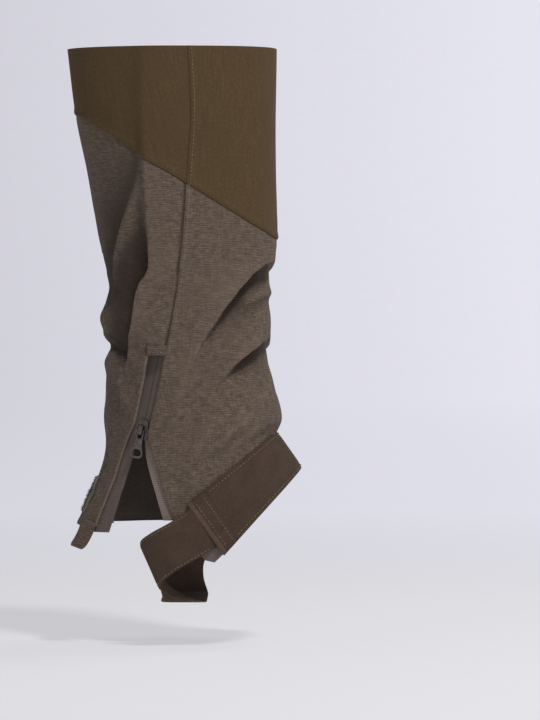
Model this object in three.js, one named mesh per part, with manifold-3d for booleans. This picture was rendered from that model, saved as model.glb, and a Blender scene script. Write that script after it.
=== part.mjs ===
// A right lower-leg gaiter in two cloths: a stretch upper, a hard-wearing lower with a side zip that opens
// from the hem, a band over the boot's instep and a strap under the boot's arch.
// Millimetres, +Z up, +X towards the toe, -Y the outer side of the leg, origin at the centre of the top opening.
import * as THREE from "three";
import { mergeVertices } from "three/addons/utils/BufferGeometryUtils.js";
import Module from "manifold-3d";

const wasm = await Module();
wasm.setup();

// ---- driving dimensions ----
const clearance = 0.3; // between pieces that are sewn, glued or riveted together
const clothThickness = 1.2; // shell cloth with its lining
const tapeThickness = 0.7;
const strapThickness = 2.4;
const strapWidth = 35;
const topDepth = 60; // half of the sleeve's depth, across the leg, at the top opening
const hemDepth = 56; // the same at the hem
const frontPower = 2.7; // squareness of the section's front half; 2 is an ellipse
const rearPower = 1.85;
const hemHeight = -367; // bottom edge of the rear cuff
const cuffHeight = -302; // where the rear cuff starts to swing
const zipTopHeight = -234.5;
const sliderHeight = -292;
const zipHalfWidth = 5.9; // half of the gap between the cloth edges along the closed zip
const tapeWidth = 12.5;
const zipGap = 0.8; // half of the gap between the two tapes, for the slider's post
const zipSink = 0.75; // how far the closed zip lies below the rest of its tapes
const coilWidth = 2;
const coilThickness = 1.7;
const facingHeight = 20; // turned hem at the top opening
const elasticHeight = 14;
const bandDrop = [41, -387.8]; // x and height of the band's lower corner on each side
const bandFront = [98.5, -324.5]; // and of its lower edge at the front
const bandStandOff = 4; // how much further out than the hem the band's lower edge reaches on each side
const bandHalfWidth = hemDepth + bandStandOff;
const bandStart = [15.3, -352.2]; // x and height of the band's upper corner on each side
const patchThickness = 0.8; // hook or loop tape
const soleHeight = -424; // middle of the strap under the arch
const soleMiddle = 10; // x of that strap's centre line
const soleOuter = -33; // y where the strap turns flat under the arch
const soleInner = 36; // y where it turns up again on the inner side

// ---- interpolation ----
// A smooth function through points [at, value], listed in rising or falling order.
function smooth(points) {
  const p = [...points].sort((a, b) => a[0] - b[0]);
  const slope = p.map((_, i) => {
    const a = p[Math.max(0, i - 1)];
    const b = p[Math.min(p.length - 1, i + 1)];
    return (b[1] - a[1]) / (b[0] - a[0]);
  });
  return (at) => {
    if (at <= p[0][0]) return p[0][1] + slope[0] * (at - p[0][0]);
    let i = 0;
    while (i < p.length - 2 && at > p[i + 1][0]) i++;
    const span = p[i + 1][0] - p[i][0];
    const s = (at - p[i][0]) / span;
    if (s > 1) return p[i + 1][1] + slope[i + 1] * (at - p[i + 1][0]);
    const s2 = s * s;
    const s3 = s2 * s;
    return (
      (2 * s3 - 3 * s2 + 1) * p[i][1] +
      (s3 - 2 * s2 + s) * span * slope[i] +
      (3 * s2 - 2 * s3) * p[i + 1][1] +
      (s3 - s2) * span * slope[i + 1]
    );
  };
}

// A function through the same kind of points with straight stretches and corners.
function cornered(points) {
  const p = [...points].sort((a, b) => a[0] - b[0]);
  return (at) => {
    let i = 0;
    while (i < p.length - 2 && at > p[i + 1][0]) i++;
    const s = (at - p[i][0]) / (p[i + 1][0] - p[i][0]);
    return p[i][1] + s * (p[i + 1][1] - p[i][1]);
  };
}

const mix = (a, b, s) => a + (b - a) * s;

// ---- the sleeve's surface ----
// Rear and front of the section at each height, as the cloth hangs on a leg in a boot.
const rearX = smooth([
  [0, -80.5], [-50, -74.5], [-95, -66], [-146, -58.5], [-185, -53], [-213, -54.5],
  [-240, -50], [-282, -51.5], [-302, -50.5], [-318, -52.5], [-342, -62], [-367, -73],
]);
const frontX = smooth([
  [0, 81], [-95, 80.6], [-146, 80.5], [-180, 76], [-210, 77], [-236, 74],
  [-262, 80], [-284, 84], [-300, 80.5], [-367, 86],
]);
const middleX = smooth([[0, 2], [-150, 4], [-290, 2], [-367, 0]]); // where the section is deepest
const depth = smooth([[0, topDepth], [-180, mix(topDepth, hemDepth, 0.6)], [-367, hemDepth]]);

const signedPower = (v, power) => Math.sign(v) * Math.abs(v) ** power;

// angle runs from the front (0) to the outer side (-90 degrees), the rear and back; offset is outwards.
function sleevePoint(angle, z) {
  const c = Math.cos(angle);
  const power = c > 0 ? frontPower : rearPower;
  const reach = c > 0 ? frontX(z) - middleX(z) : middleX(z) - rearX(z);
  return new THREE.Vector3(
    middleX(z) + reach * signedPower(c, 2 / power),
    depth(z) * signedPower(Math.sin(angle), 2 / power),
    z,
  );
}

// The angle at which the surface has this x; side is -1 for the outer side of the leg, 1 for the inner.
function angleAt(x, z, side) {
  const ahead = x > middleX(z);
  const share = ahead
    ? (x - middleX(z)) / (frontX(z) - middleX(z))
    : (x - middleX(z)) / (middleX(z) - rearX(z));
  const c = signedPower(share, (ahead ? frontPower : rearPower) / 2);
  return side * Math.acos(Math.max(-1, Math.min(1, c)));
}

function sleeveNormal(angle, z) {
  const step = 0.02;
  const around = sleevePoint(angle + step, z).sub(sleevePoint(angle - step, z));
  const up = sleevePoint(angle, z + 1).sub(sleevePoint(angle, z - 1));
  return around.cross(up).normalize();
}

function onSleeve(angle, z, offset = 0) {
  const normal = sleeveNormal(angle, z);
  return { point: sleevePoint(angle, z).addScaledVector(normal, offset), normal };
}

const onSide = (x, z, side, offset = 0) => onSleeve(angleAt(x, z, side), z, offset);

// ---- seam and edge lines, as x for each height, the same on both sides of the leg ----
const zipMiddleX = cornered([[zipTopHeight, -9.35], [sliderHeight, -22.4]]);
const seamX = smooth([
  [0, 13.2], [-50, 15.5], [-103, 12.4], [-147, 9.3], [-186, 5], [-217, 0],
  [zipTopHeight, zipMiddleX(zipTopHeight) + zipHalfWidth],
]);
const frontEdgeLower = smooth([[-296, -17.4], [-303, -16.4], [-320, -11], [-341, -4.9], [-363, 3.4]]);
const frontEdgeX = (z) => {
  if (z > zipTopHeight) return seamX(z);
  return z > -296 ? zipMiddleX(z) + zipHalfWidth : frontEdgeLower(z);
};
const innerSeamX = smooth([
  [0, 13.2], [-50, 15.5], [-103, 12.4], [-147, 9.3], [-186, 5], [-240, -4], [-300, -9], [-363, -4],
]);
const rearEdgeLower = smooth([[-288, -27.4], [-302, -33.5], [-329, -42.5], [-352, -51.2], [-367, -57]]);
const rearEdgeX = (z) => (z > -288 ? zipMiddleX(z) - zipHalfWidth : rearEdgeLower(z));
const frontTapeX = smooth([
  [sliderHeight, zipMiddleX(sliderHeight) + zipGap], [-301, -20.9], [-320, -18.2], [-341, -12], [-363, -5.2],
]);
const rearTapeX = smooth([
  [sliderHeight, zipMiddleX(sliderHeight) - zipGap], [-301, -26.4], [-316, -31.2], [-341, -39.7], [-366, -47.4],
]);
const yokeHeight = (x) => -96.3 - 0.62 * x; // the seam between the two cloths
const hemLine = cornered([[-60, -398], [-7, -364], bandStart, [79.9, -299.3], [100, -282.8]]);

// The height at which a vertical line of the sleeve, at one angle, meets a line that is given by x.
function heightWhere(line, angle) {
  let z = line(0);
  for (let i = 0; i < 40; i++) z = mix(z, line(sleevePoint(angle, z).x), 0.6);
  return z;
}

// ---- solids ----
// A closed solid from rows of {point, normal}: its outer face, the same face moved in by thickness, and edges.
function sheetGeometry(rows, thickness, ring = false) {
  const height = rows.length;
  const width = rows[0].length;
  const outer = rows.flat().map((s) => s.point.clone());
  const inner = rows.flat().map((s) => s.point.clone().addScaledVector(s.normal, -thickness));
  const points = [...outer, ...inner];
  const half = outer.length;
  const at = (i, j) => i * width + (j % width);
  const faces = [];
  const quad = (a, b, c, d) => faces.push(a, b, c, a, c, d);
  const columns = ring ? width : width - 1;
  for (let i = 0; i < height - 1; i++)
    for (let j = 0; j < columns; j++) {
      quad(at(i, j), at(i, j + 1), at(i + 1, j + 1), at(i + 1, j));
      quad(half + at(i, j), half + at(i + 1, j), half + at(i + 1, j + 1), half + at(i, j + 1));
    }
  for (let j = 0; j < columns; j++) {
    quad(at(0, j), half + at(0, j), half + at(0, j + 1), at(0, j + 1));
    const last = height - 1;
    quad(at(last, j), at(last, j + 1), half + at(last, j + 1), half + at(last, j));
  }
  if (!ring)
    for (let i = 0; i < height - 1; i++) {
      quad(at(i, 0), at(i + 1, 0), half + at(i + 1, 0), half + at(i, 0));
      const last = width - 1;
      quad(at(i, last), half + at(i, last), half + at(i + 1, last), at(i + 1, last));
    }
  let volume = 0;
  for (let i = 0; i < faces.length; i += 3)
    volume += points[faces[i]].dot(points[faces[i + 1]].clone().cross(points[faces[i + 2]]));
  if (volume < 0)
    for (let i = 0; i < faces.length; i += 3)
      [faces[i + 1], faces[i + 2]] = [faces[i + 2], faces[i + 1]];
  const geometry = new THREE.BufferGeometry().setFromPoints(points);
  geometry.setIndex(faces);
  return geometry;
}

// Rows of surface samples: across and down count the steps, sample takes shares from 0 to 1.
function rowsOf(across, down, sample) {
  return Array.from({ length: down + 1 }, (_, i) =>
    Array.from({ length: across + 1 }, (_, j) => sample(j / across, i / down)),
  );
}

// A cloth panel between two angle lines and two height lines.
function panelRows(across, down, left, right, top, bottom, offset = 0) {
  return rowsOf(across, down, (s, t) => {
    let angle = mix(left(top(0)), right(top(0)), s);
    let z = mix(top(angle), bottom(angle), t);
    for (let i = 0; i < 6; i++) {
      angle = mix(left(z), right(z), s);
      z = mix(top(angle), bottom(angle), t);
    }
    return onSleeve(angle, z, offset);
  });
}

// A strip that follows a list of [upper edge, lower edge] points, facing out on its thickness's outer side.
function ribbonRows(stations, steps, across, outwards) {
  const curves = [0, 1].map(
    (k) => new THREE.CatmullRomCurve3(stations.map((s) => new THREE.Vector3(...s[k])), false, "centripetal"),
  );
  const sample = (s, t) => curves[0].getPoint(s).lerp(curves[1].getPoint(s), t);
  let last = new THREE.Vector3(...outwards);
  return Array.from({ length: steps + 1 }, (_, i) => {
    const s = i / steps;
    const along = sample(Math.min(1, s + 0.01), 0.5).sub(sample(Math.max(0, s - 0.01), 0.5));
    const normal = along.cross(sample(s, 1).sub(sample(s, 0))).normalize();
    if (normal.dot(last) < 0) normal.negate();
    last = normal;
    return Array.from({ length: across + 1 }, (_, j) => ({
      point: sample(s, j / across).addScaledVector(normal, strapThickness / 2),
      normal,
    }));
  });
}

// A solid for manifold-3d from a closed geometry, and the way back.
function solidOf(geometry) {
  const bare = geometry.index ? geometry.toNonIndexed() : geometry.clone();
  for (const name of Object.keys(bare.attributes)) if (name !== "position") bare.deleteAttribute(name);
  const merged = mergeVertices(bare, 1e-4);
  return new wasm.Manifold(
    new wasm.Mesh({
      numProp: 3,
      vertProperties: new Float32Array(merged.attributes.position.array),
      triVerts: new Uint32Array(merged.index.array),
    }),
  );
}

function geometryOf(solid) {
  const mesh = solid.getMesh();
  return new THREE.BufferGeometry()
    .setAttribute("position", new THREE.BufferAttribute(new Float32Array(mesh.vertProperties), 3))
    .setIndex(new THREE.BufferAttribute(new Uint32Array(mesh.triVerts), 1));
}

const joined = (...geometries) => geometryOf(geometries.map(solidOf).reduce((a, b) => a.add(b)));

// A flat plate from an outline, between two heights along its own z.
function plate(outline, low, high, holes = []) {
  const shape = new THREE.Shape(outline.map(([x, y]) => new THREE.Vector2(x, y)));
  for (const hole of holes) shape.holes.push(new THREE.Path(hole.map(([x, y]) => new THREE.Vector2(x, y))));
  return new THREE.ExtrudeGeometry(shape, { depth: high - low, bevelEnabled: false }).translate(0, 0, low);
}

function oval(x, y, width, height, steps = 16) {
  return Array.from({ length: steps }, (_, i) => {
    const a = (i / steps) * 2 * Math.PI;
    return [x + (width / 2) * Math.cos(a), y + (height / 2) * Math.sin(a)];
  });
}

function rectangle(x0, y0, x1, y1) {
  return [[x0, y0], [x1, y0], [x1, y1], [x0, y1]];
}

// ---- materials ----
const cloth = (colour, roughness = 0.9) => new THREE.MeshStandardMaterial({ color: colour, roughness, metalness: 0 });
const olive = cloth(0x57452f);
const taupe = cloth(0x5f5349);
const bandCloth = cloth(0x46382f);
const lining = cloth(0x3a3430);
const tapeCloth = cloth(0x4a433d);
const hookTape = cloth(0x35332c);
const paleLoop = cloth(0x6f6353);
const nylon = cloth(0x564e48, 0.5);
const metal = new THREE.MeshStandardMaterial({ color: 0x4b4542, roughness: 0.35, metalness: 0.9 });

const gaiter = new THREE.Group();

function add(name, geometry, material, parent = gaiter) {
  const mesh = new THREE.Mesh(geometry, material);
  mesh.name = name;
  parent.add(mesh);
  return mesh;
}

// ---- cloth panels ----
const outerFront = (z) => angleAt(frontEdgeX(z), z, -1);
const innerFront = (z) => angleAt(innerSeamX(z), z, 1);
const gapAngle = 0.009; // clearance between panels that meet at a side seam, in radians
const yokeAt = (angle) => heightWhere(yokeHeight, angle);
const hemAt = (angle) => heightWhere(hemLine, angle);
const wrapped = (angle) => (angle < 0 ? angle + 2 * Math.PI : angle); // past the rear, for a panel round the back

function addUpperPanels() {
  const top = () => 0;
  const bottom = (angle) => yokeAt(angle) + clearance / 2;
  add("upper_front_panel", sheetGeometry(panelRows(20, 5, outerFront, innerFront, top, bottom), clothThickness), olive);
  const inner = (z) => innerFront(z) + gapAngle;
  const outer = (z) => wrapped(outerFront(z)) - gapAngle;
  add("upper_rear_panel", sheetGeometry(panelRows(18, 4, inner, outer, top, bottom), clothThickness), olive);
}

function addLowerPanels() {
  const yoke = (angle) => yokeAt(angle) - clearance / 2;
  const hem = (angle) => hemAt(angle) + clearance / 2;
  add("lower_front_panel", sheetGeometry(panelRows(22, 14, outerFront, innerFront, yoke, hem), clothThickness), taupe);
  const inner = (z) => innerFront(z) + gapAngle;
  const notch = cornered([[0, 0], [zipTopHeight + 8, 0], [zipTopHeight, 1], [-400, 1]]);
  const outerX = (z) => mix(frontEdgeX(z), rearEdgeX(z), notch(z));
  const outer = (z) => wrapped(angleAt(outerX(z), z, -1)) - gapAngle;
  const cut = () => cuffHeight + clearance;
  add("lower_rear_panel", sheetGeometry(panelRows(18, 12, inner, outer, yoke, cut), clothThickness), taupe);
}

// The rear cuff swings on the line through the zip's opening point; the gusset is the cloth that folds beside it.
const cuffInner = (z) => angleAt(rearEdgeX(z), z, 1);
const cuffOuter = (z) => wrapped(angleAt(rearEdgeX(z), z, -1));
const cuffBottom = () => hemHeight;

function addCuff() {
  const top = () => cuffHeight - clearance;
  add("rear_cuff_panel", sheetGeometry(panelRows(18, 7, cuffInner, cuffOuter, top, cuffBottom), clothThickness), taupe);
  const facing = panelRows(
    18, 1,
    (z) => cuffInner(z) + 0.03,
    (z) => cuffOuter(z) - 0.2,
    () => hemHeight + 16, cuffBottom,
    -clothThickness - clearance,
  );
  add("cuff_hem_facing", sheetGeometry(facing, tapeThickness), lining);
  const edge = (z) => innerFront(z) + 0.015;
  const fold = (z) => cuffInner(z) - 0.012;
  const gussetTop = () => cuffHeight - clearance;
  add("inner_gusset", sheetGeometry(panelRows(4, 6, edge, fold, gussetTop, () => -363), clothThickness), taupe);
}

// A ring inside the top opening. It shares the panels' angles, so that their facets lie side by side.
function addTopHem() {
  const ring = (inset, height, thickness) => {
    const rows = [-2, -2 - height].map((z) => {
      const front = Array.from({ length: 20 }, (_, i) => mix(outerFront(z), innerFront(z), i / 20));
      const rear = Array.from({ length: 18 }, (_, i) => mix(innerFront(z), wrapped(outerFront(z)), i / 18));
      return [...front, ...rear].map((angle) => onSleeve(angle, z, -inset));
    });
    return sheetGeometry(rows, thickness, true);
  };
  const elasticInset = clothThickness + clearance;
  add("top_elastic", ring(elasticInset, elasticHeight, patchThickness), hookTape);
  const facingInset = elasticInset + patchThickness + clearance;
  add("top_hem_facing", ring(facingInset, facingHeight, patchThickness), lining);
}

// ---- band over the instep ----
const bandAngles = [-1, 1].map((side) => angleAt(bandStart[0], bandStart[1], side));

// share runs round the band from the outer end (0) to the inner end (1), drop from its upper edge to its lower.
function onBand(share, drop, offset = 0) {
  const place = (s, d) => {
    const angle = mix(bandAngles[0], bandAngles[1], s);
    const upper = sleevePoint(angle, hemAt(angle) - clearance / 2);
    const turn = mix(-Math.PI / 2, Math.PI / 2, s);
    const x = bandDrop[0] + (bandFront[0] - bandDrop[0]) * Math.cos(turn) ** 0.85;
    const fall = (bandFront[1] - bandDrop[1]) / (bandFront[0] - bandDrop[0]);
    const lower = new THREE.Vector3(
      x,
      bandHalfWidth * signedPower(Math.sin(turn), 0.85),
      bandDrop[1] + fall * (x - bandDrop[0]),
    );
    return upper.lerp(lower, d);
  };
  const clamp = (v) => Math.max(0.0001, Math.min(0.9999, v));
  const around = place(clamp(share + 0.01), drop).sub(place(clamp(share - 0.01), drop));
  const down = place(clamp(share), drop + 0.05).sub(place(clamp(share), drop - 0.05));
  const normal = down.cross(around).normalize();
  if (normal.dot(new THREE.Vector3(place(share, drop).x - 10, place(share, drop).y, 0)) < 0) normal.negate();
  return { point: place(clamp(share), drop).addScaledVector(normal, offset), normal };
}

const bandOffset = 0.6; // how far the band stands out from the lower cloth
const bandRows = (across, down, s0, s1, d0, d1, offset) =>
  rowsOf(across, down, (s, t) => onBand(mix(s0, s1, s), mix(d0, d1, t), offset));

function addBand() {
  add("instep_band", sheetGeometry(bandRows(26, 3, 0, 1, 0, 1, bandOffset), clothThickness), bandCloth);
  const liningInset = bandOffset - clothThickness - clearance;
  add("instep_band_lining", sheetGeometry(bandRows(26, 2, 0.01, 0.99, 0.04, 0.97, liningInset), patchThickness), lining);
  const bindingOffset = bandOffset + clearance + patchThickness;
  add("band_end_binding", sheetGeometry(bandRows(2, 3, 0, 0.035, 0.01, 0.99, bindingOffset), patchThickness), bandCloth);
  const patchOffset = bandOffset + clearance + patchThickness;
  add("band_loop_patch", sheetGeometry(bandRows(5, 2, 0.8, 0.97, 0.12, 0.72, patchOffset), patchThickness), hookTape);
}

// ---- strap under the arch ----
const half = strapWidth / 2;
const beyond = (side, distance) => side * (hemDepth + distance); // y at a distance outside the hem
const sideStations = [
  [[15, beyond(-1, 2.9), -352.6], [34.3, beyond(-1, 4.2), -382]],
  [[-1, beyond(-1, 5), -363], [20, beyond(-1, 6), -390.3]],
  [[-15.9, beyond(-1, 4), -371.4], [3, beyond(-1, 5.5), -400.5]],
  [[-22.4, beyond(-1, -1.5), -377.5], [-8, beyond(-1, 0), -411.5]],
  [[-19.5, -47, -387], [-2, -51, -418.5]],
  [[-12.5, -41, -403], [9, -45, -422.8]],
  [[soleMiddle - half + 1, soleOuter - 6, soleHeight + 4], [soleMiddle + half - 1, soleOuter - 7.5, soleHeight + 0.5]],
  [[soleMiddle - half, soleOuter - 2.5, soleHeight + 0.4], [soleMiddle + half, soleOuter - 2.5, soleHeight]],
  [[soleMiddle - half, soleOuter, soleHeight], [soleMiddle + half, soleOuter, soleHeight]],
];

// Places on the inner end of the band, for the strap's tail to lie on.
const tailOffset = bandOffset + 3 * (clearance + patchThickness) - patchThickness;
const tailDrops = [0.08, 0.8]; // the tail's upper and lower edge, as shares of the band's drop
const tailEnd = 0.78; // where the tail ends, as a share of the way round the band
const overBand = (share) => tailDrops.map((d) => onBand(share, d, tailOffset + strapThickness / 2).point.toArray());
const tailStations = [
  [[soleMiddle - half, soleInner, soleHeight], [soleMiddle + half, soleInner, soleHeight]],
  [[soleMiddle - half, soleInner + 2.5, soleHeight + 0.1], [soleMiddle + half, soleInner + 2.5, soleHeight]],
  [[soleMiddle - half - 1, soleInner + 12, soleHeight + 4], [soleMiddle + half - 1, soleInner + 13, soleHeight + 2.5]],
  [[soleMiddle - half - 3, soleInner + 21, soleHeight + 17], [soleMiddle + half - 4, soleInner + 23, soleHeight + 12]],
  [[-5, beyond(1, 5), -389], [24, beyond(1, 7), -400.5]],
  [[4, beyond(1, 6), -373], [30, beyond(1, 8.2), -391]],
  overBand(0.985),
];

function addStrap() {
  add("strap_side", sheetGeometry(ribbonRows(sideStations, 24, 2, [0, -1, 0]), strapThickness), bandCloth);
  const sole = new THREE.BoxGeometry(strapWidth, soleInner - soleOuter - 2 * clearance, strapThickness);
  add("strap_sole", sole.translate(soleMiddle, (soleInner + soleOuter) / 2, soleHeight), bandCloth);
  const laid = rowsOf(2, 8, (d, s) =>
    onBand(mix(0.97, tailEnd, s), mix(tailDrops[0], tailDrops[1], d), tailOffset + strapThickness),
  );
  const tailRows = [...ribbonRows(tailStations, 18, 2, [0, 0, -1]), ...laid];
  add("strap_tail", sheetGeometry(tailRows, strapThickness), bandCloth);
  const hookOffset = bandOffset + 2 * (clearance + patchThickness);
  add("strap_hook_patch", sheetGeometry(bandRows(4, 2, 0.8, 0.95, 0.14, 0.7, hookOffset), patchThickness), hookTape);
  const tabOutline = [[23, -389], [22, -379], [32, -383.5], [40.3, -388.6], [33.8, -395.3], [26.6, -393.4]];
  const tab = plate(tabOutline, 0, 0.8).rotateX(Math.PI / 2);
  add("strap_root_tab", tab.translate(0, beyond(-1, 2.2), 0), paleLoop);
}

// ---- zip ----
const tapeInset = clothThickness + 2.5 * clearance;

// The closed zip lies flat between the panels, so that the slider can run straight along it. In its frame x runs
// across the zip towards the toe, y up along it and z out of the leg; zipOrigin is the slider's place.
const zipLevel = (z) => onSide(zipMiddleX(z), z, -1, -tapeInset);
const zipUp = zipLevel(zipTopHeight).point.sub(zipLevel(sliderHeight).point).normalize();
const outFromZip = zipLevel(sliderHeight).normal.add(zipLevel(zipTopHeight).normal);
const zipAcross = zipUp.clone().cross(outFromZip).normalize();
const zipOut = zipAcross.clone().cross(zipUp).normalize();
const zipOrigin = zipLevel(sliderHeight).point.addScaledVector(zipOut, -zipSink);

const share = (v, from, to) => Math.max(0, Math.min(1, (v - from) / (to - from)));

// A place on the zip's tapes: flat near the closed zip, on the sleeve's inner face elsewhere.
function onZip(x, z, depthInside) {
  const { point, normal } = onSide(x, z, -1, -tapeInset);
  const from = point.clone().sub(zipOrigin);
  const flat = zipOrigin.clone()
    .addScaledVector(zipAcross, from.dot(zipAcross))
    .addScaledVector(zipUp, from.dot(zipUp));
  const weight = share(z, -312, -299) * (1 - share(Math.abs(from.dot(zipAcross)), 6.2, 9.5));
  const facing = normal.clone().lerp(zipOut, weight).normalize();
  return { point: point.lerp(flat, weight).addScaledVector(facing, -depthInside), normal: facing };
}

// A strip along the zip, from one x line to another, depthInside below the tapes' outer face.
function zipStrip(fromX, toX, top, bottom, depthInside, thickness, steps, columns = [0, 1]) {
  const rows = Array.from({ length: steps + 1 }, (_, i) => {
    const z = mix(top, bottom, i / steps);
    return columns.map((s) => onZip(mix(fromX(z), toX(z), s), z, depthInside));
  });
  return sheetGeometry(rows, thickness);
}

const tapeColumns = [0, 0.17, 0.36, 0.7, 1]; // where the tapes may bend, as shares of their width
const frontInnerX = (z) => (z > sliderHeight ? zipMiddleX(z) + zipGap : frontTapeX(z));
const rearInnerX = (z) => (z > sliderHeight ? zipMiddleX(z) - zipGap : rearTapeX(z));
const zipTop = zipTopHeight + 3;

function addZip() {
  const frontOuterX = (z) => frontInnerX(z) + tapeWidth;
  const rearOuterX = (z) => rearInnerX(z) - tapeWidth;
  const tape = (from, to, top, bottom, steps) => zipStrip(from, to, top, bottom, 0, tapeThickness, steps, tapeColumns);
  add("zip_tape_front", tape(frontInnerX, frontOuterX, zipTop, -361.5, 16), tapeCloth);
  add("zip_tape_rear_upper", tape(rearInnerX, rearOuterX, zipTop, cuffHeight + clearance, 9), tapeCloth);
  add("zip_tape_rear_lower", tape(rearInnerX, rearOuterX, cuffHeight - clearance, -364, 8), tapeCloth);
  const coilInset = tapeThickness + clearance;
  const frontCoilX = (z) => frontInnerX(z) + coilWidth;
  const rearCoilX = (z) => rearInnerX(z) - coilWidth;
  add("zip_coil_front", zipStrip(frontInnerX, frontCoilX, zipTop - 5, -358, coilInset, coilThickness, 16), nylon);
  add("zip_coil_rear_upper", zipStrip(rearInnerX, rearCoilX, zipTop - 5, cuffHeight + clearance, coilInset, coilThickness, 9), nylon);
  add("zip_coil_rear_lower", zipStrip(rearInnerX, rearCoilX, cuffHeight - clearance, -361, coilInset, coilThickness, 8), nylon);
  const stopX = (z) => zipMiddleX(z) - 2.6;
  add("zip_top_stop", zipStrip(stopX, (z) => stopX(z) + 5, zipTop - 2, zipTop - 4.6, coilInset, coilThickness, 1), metal);
  const stop = (edge, z, way) => zipStrip(edge, (h) => edge(h) + way * 3, z, z - 2.2, coilInset, coilThickness, 1);
  add("zip_bottom_stop_front", stop(frontInnerX, -358.6, 1), metal);
  add("zip_bottom_stop_rear", stop(rearInnerX, -361.4, -1), metal);
  const garage = rowsOf(2, 2, (s, t) => onSide(mix(-17, -2.2, s) + 0.8 * t, zipTopHeight + 7 - 7.5 * t, -1, clearance + 0.9));
  add("zip_garage", sheetGeometry(garage, 0.9), taupe);
}

// ---- slider, in the closed zip's frame ----

const plateHalf = 5.4;
const channel = 0.45; // gap between the tape and the slider's plates
const outerPlate = [channel, channel + 1.3];
const innerPlate = [-tapeThickness - coilThickness - 1.8, -tapeThickness - coilThickness - 0.7];
const postHalf = 0.5;
const bridgeHeight = 2.9;
const pivot = [0, -0.8, outerPlate[1] + 1.25];

function sliderOutline(scale) {
  const w = plateHalf * scale;
  return [
    [-w, -6.2], [-w * 0.82, -7.8], [w * 0.82, -7.8], [w, -6.2], [w * 0.96, -1], [w * 0.72, 5.5],
    [w * 0.5, 7.6], [-w * 0.5, 7.6], [-w * 0.72, 5.5], [-w * 0.96, -1],
  ];
}

function addSlider() {
  const slider = new THREE.Group();
  slider.position.copy(zipOrigin);
  slider.quaternion.setFromRotationMatrix(new THREE.Matrix4().makeBasis(zipAcross, zipUp, zipOut));
  gaiter.add(slider);
  const post = plate(rectangle(-postHalf, -5, postHalf, 5), innerPlate[1] - 0.5, outerPlate[0] + 0.5);
  const body = joined(plate(sliderOutline(1), ...outerPlate), plate(sliderOutline(0.92), ...innerPlate), post);
  add("slider_body", body, metal, slider);
  const top = outerPlate[1];
  const bridgeSide = [
    [-4.8, top + 0.05], [-4.8, top + 1.9], [-3.6, top + bridgeHeight], [2.4, top + bridgeHeight], [3.6, top + 1.9],
    [3.6, top + 0.05], [2.4, top + 0.05], [2.4, top + 2.05], [-3.6, top + 2.05], [-3.6, top + 0.05],
  ];
  const bridge = plate(bridgeSide, -1.15, 1.15);
  bridge.applyMatrix4(new THREE.Matrix4().makeBasis(
    new THREE.Vector3(0, 1, 0), new THREE.Vector3(0, 0, 1), new THREE.Vector3(1, 0, 0),
  ));
  add("slider_bridge", bridge, metal, slider);
  const spring = plate([[-3.2, top + 0.1], [-3.2, top + 0.4], [2.1, top + 0.4], [2.1, top + 0.1]], -0.7, 0.7);
  spring.applyMatrix4(new THREE.Matrix4().makeBasis(
    new THREE.Vector3(0, 1, 0), new THREE.Vector3(0, 0, 1), new THREE.Vector3(1, 0, 0),
  ));
  add("slider_lock_spring", spring, metal, slider);
  const pullOutline = [
    [-3, 0.5], [3, 0.5], [3.1, -7], [3.3, -10], [4.6, -14], [5, -17], [4.4, -19.6], [2.6, -21.2],
    [-2.6, -21.2], [-4.4, -19.6], [-5, -17], [-4.6, -14], [-3.3, -10], [-3.1, -7],
  ].map(([x, y]) => [x, y + pivot[1]]);
  const window = rectangle(-1.8, pivot[1] - 7.2, 1.8, pivot[1] - 0.5);
  const ringHole = oval(0, pivot[1] - 17, 6.6, 4.8);
  add("pull_tab", plate(pullOutline, pivot[2] - 0.5, pivot[2] + 0.5, [window, ringHole]), metal, slider);
}

// ---- hem tab and patches on the cuff ----
function addHemTab() {
  const root = onSide(-63, hemHeight + 1, -1, 2 * clearance);
  const tab = new THREE.Group();
  tab.position.copy(root.point);
  const out = new THREE.Vector3(root.normal.x, root.normal.y, 0).normalize();
  const up = new THREE.Vector3(0.28, 0, 0.96);
  const across = up.clone().cross(out).normalize();
  const upright = out.clone().cross(across).normalize();
  tab.quaternion.setFromRotationMatrix(new THREE.Matrix4().makeBasis(across, upright, out));
  gaiter.add(tab);
  const outline = [[-9, 3], [9, 3], [8.6, -12], [7.4, -16], [4, -18], [-4, -18], [-7.4, -16], [-8.6, -12]];
  add("hem_tab", plate(outline, 0, 1.4), taupe, tab);
  add("hem_tab_hook_patch", plate(rectangle(-6.5, -15, 6.5, -4.5), -clearance - 0.8, -clearance), hookTape, tab);
  const patch = panelRows(
    6, 3,
    () => 2.62, () => 3.5,
    () => -330, () => -358,
    clearance + 1.2,
  );
  add("cuff_loop_patch", sheetGeometry(patch, 1.2), hookTape);
}

addUpperPanels();
addLowerPanels();
addCuff();
addTopHem();
addBand();
addStrap();
addZip();
addSlider();
addHemTab();

export default gaiter;
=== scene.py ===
"""A right lower-leg gaiter, finished around its fixed frame: folded cloth, band, strap, zip and stitching."""

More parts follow.
